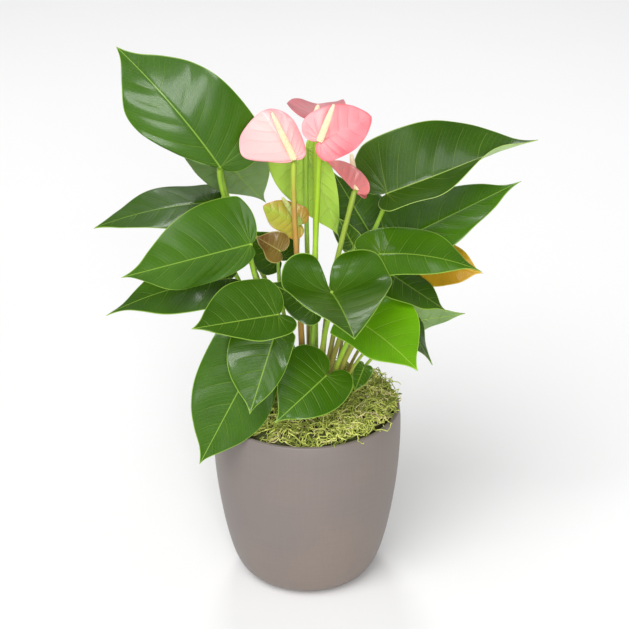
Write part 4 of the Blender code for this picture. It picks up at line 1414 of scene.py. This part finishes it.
FLOWERS = (
    Flower(
        "flower_left",
        Blade(base=(-9, 0, 207), tip=(-33, 10, 241), face=(0, -1, 0.5), half=(31, 16), lobe=(3, 4),
              cup=(8, 12), outline=(Outline.FAN, Outline.OVAL), root=(-3, -5), arrive=(0, -0.6, -1),
              veins=9, quilt=0.25, wave=1.0),
        (-25, -4, 244), Blush(0.35, 0.10, 0.05, 0.35, 0.2),
        SpatheFinish("spathe_pale_pink", (0.83, 0.53, 0.51), (0.82, 0.25, 0.28), (0.80, 0.33, 0.33),
                     (0.92, 0.50, 0.50)),
        "spathe_pale_pink", ORANGE_STALK, CREAM),
    Flower(
        "flower_right",
        Blade(base=(10, -19, 228), tip=(48, -9, 243), face=(0.1, -1, 0.6), half=(21, 18), lobe=(9, 6),
              cup=(8, 8), outline=(Outline.ROUND, Outline.ROUND), root=(4, -4), veins=9, quilt=0.25,
              wave=1.0),
        (20, -25, 257), Blush(0.12, 0.75, -0.1, 0.75, 0.1),
        SpatheFinish("spathe_coral_pink", (0.80, 0.32, 0.34), (0.82, 0.12, 0.15), (0.80, 0.24, 0.25),
                     (0.93, 0.40, 0.42)),
        "spathe_coral_pink", LIME_STALK, CREAM),
    Flower(
        "flower_rear",
        Blade(base=(7, 25, 231), tip=(10, 62, 230), face=(0, 0, 1), half=(24, 24), lobe=(9, 9),
              cup=(25, 25), outline=(Outline.ROUND, Outline.ROUND), root=(7, 12), veins=9, quilt=0.25,
              wave=1.0),
        (9, 42, 235), Blush(0.5, 0.4, 0.2, 0.2, 0.2),
        SpatheFinish("spathe_dusky_pink", (0.80, 0.36, 0.38), (0.62, 0.18, 0.20), (0.70, 0.28, 0.29),
                     (0.62, 0.30, 0.30)),
        "spathe_dusky_pink", LIME_STALK, CREAM),
    Flower(
        "flower_low_right",
        Blade(base=(38, 5, 180), tip=(16, 18, 199), face=(0.6, 1, 0.7), half=(14, 18), lobe=(8, 8),
              cup=(50, 50), outline=(Outline.ROUND, Outline.ROUND), root=(11, -2), veins=9, quilt=0.5,
              wave=1.0),
        (34, 22, 203), Blush(0.5, 0.6, 0.2, 0.2, 0.2),
        SpatheFinish("spathe_cupped_pink", (0.88, 0.30, 0.32), (0.80, 0.16, 0.18), (0.62, 0.20, 0.19),
                     (0.45, 0.24, 0.18)),
        "spathe_dusky_pink", OLIVE_STALK, CREAM),
    Flower(
        "flower_faded",
        Blade(base=(-5, 15, 149), tip=(-33, 11, 165), face=(0, -0.8, 0.6), half=(14, 13), lobe=(5, 5),
              cup=(10, 10), outline=(Outline.ROUND, Outline.ROUND), root=(-2, 10), veins=9, quilt=0.5),
        (-18, 10, 172), Blush(0.42, 0.1, 0.3, 0.5, -0.2),
        SpatheFinish("spathe_faded", (0.36, 0.50, 0.05), (0.50, 0.20, 0.03), (0.35, 0.35, 0.08),
                     (0.40, 0.42, 0.10)),
        "spathe_faded", OLIVE_STALK, GREENING, "spadix_green"),
)


# ---------------------------------------------------------------- the studio
@dataclass(frozen=True)
class Softbox:
    """A lamp aimed at the plant: metres and watts, or for a sun its angle in radians and strength."""

    name: str
    place: Point
    size: float
    power: float


@dataclass(frozen=True)
class Studio:
    """Pale floor, soft light and the camera; rise is the camera's angle above level."""

    aim: Point = (0.0062, 0.0, 0.226)
    distance: float = 1.3
    rise: float = 25.0
    lens: float = 95.6
    sky: float = 0.34
    floor_reach: float = 6.0
    sensor: float = 36.0
    sun: Softbox = Softbox("sun", (-0.38, -0.85, 1.45), math.radians(42.0), 2.25)
    lamps: tuple[Softbox, ...] = (
        Softbox("back", (-0.15, 1.35, 1.75), 0.45, 9.0),
        Softbox("front", (0.14, -1.95, 0.90), 0.5, 20.0),
    )

    def build(self) -> None:
        """Make floor, lamps, surrounding light and camera."""
        scene = bpy.context.scene
        scene.view_settings.view_transform = "Standard"
        floor_mesh = bpy.data.meshes.new("floor")
        corners = [(x * self.floor_reach, y * self.floor_reach, 0)
                   for x, y in ((-1, -1), (1, -1), (1, 1), (-1, 1))]
        floor_mesh.from_pydata(corners, [], [(0, 1, 2, 3)])
        recipe = Recipe("floor_pale", specular_ior_level=0.2)
        pale = recipe.mix(recipe.noise(3.0, 3.0), (0.83, 0.83, 0.83), (0.85, 0.85, 0.85))
        floor_mesh.materials.append(recipe.finish(pale, 0.8))
        floor = bpy.data.objects.new("floor", floor_mesh)
        scene.collection.objects.link(floor)
        world = bpy.data.worlds.new("studio_air")
        world.use_nodes = True
        air = world.node_tree.nodes["Background"]
        air.inputs["Color"].default_value = (1.0, 1.0, 1.0, 1.0)
        air.inputs["Strength"].default_value = self.sky
        scene.world = world
        sun = bpy.data.lights.new(self.sun.name, "SUN")
        sun.angle = self.sun.size
        sun.energy = self.sun.power
        self.aimed(bpy.data.objects.new(self.sun.name, sun), self.sun.place)
        for lamp in self.lamps:
            light = bpy.data.lights.new(lamp.name, "AREA")
            light.size = lamp.size
            light.energy = lamp.power
            self.aimed(bpy.data.objects.new(lamp.name, light), lamp.place)
        camera = bpy.data.cameras.new("camera")
        camera.lens = self.lens
        camera.sensor_width = self.sensor
        angle = math.radians(self.rise)
        spot = (self.aim[0], self.aim[1] - self.distance * math.cos(angle),
                self.aim[2] + self.distance * math.sin(angle))
        scene.camera = self.aimed(bpy.data.objects.new("camera", camera), spot)

    def aimed(self, obj: bpy.types.Object, spot: Point) -> bpy.types.Object:
        """Place a lamp or camera and turn it to the aim."""
        obj.location = spot
        obj.rotation_euler = (Vector(self.aim) - Vector(spot)).to_track_quat("-Z", "Y").to_euler()
        bpy.context.scene.collection.objects.link(obj)
        return obj


def main() -> None:
    """Build the studio, the pot with what stands in it, and the plant."""
    logging.basicConfig(level=logging.INFO, format="%(message)s")
    Studio().build()
    Pot().build(GlazeFinish())
    dress_inner_nodes()
    Moss().build()
    skins = {skin: skin.value[0].material() for skin in Skin}
    stem = PETIOLE_SKIN.material()
    for name, blade in LEAVES.items():
        Leaf(name, blade, SKINS.get(name, Skin.GREEN), name in ONE_PIECE).build(skins, stem)
    for flower in FLOWERS:
        flower.build(Florets())


if __name__ == "__main__":
    main()
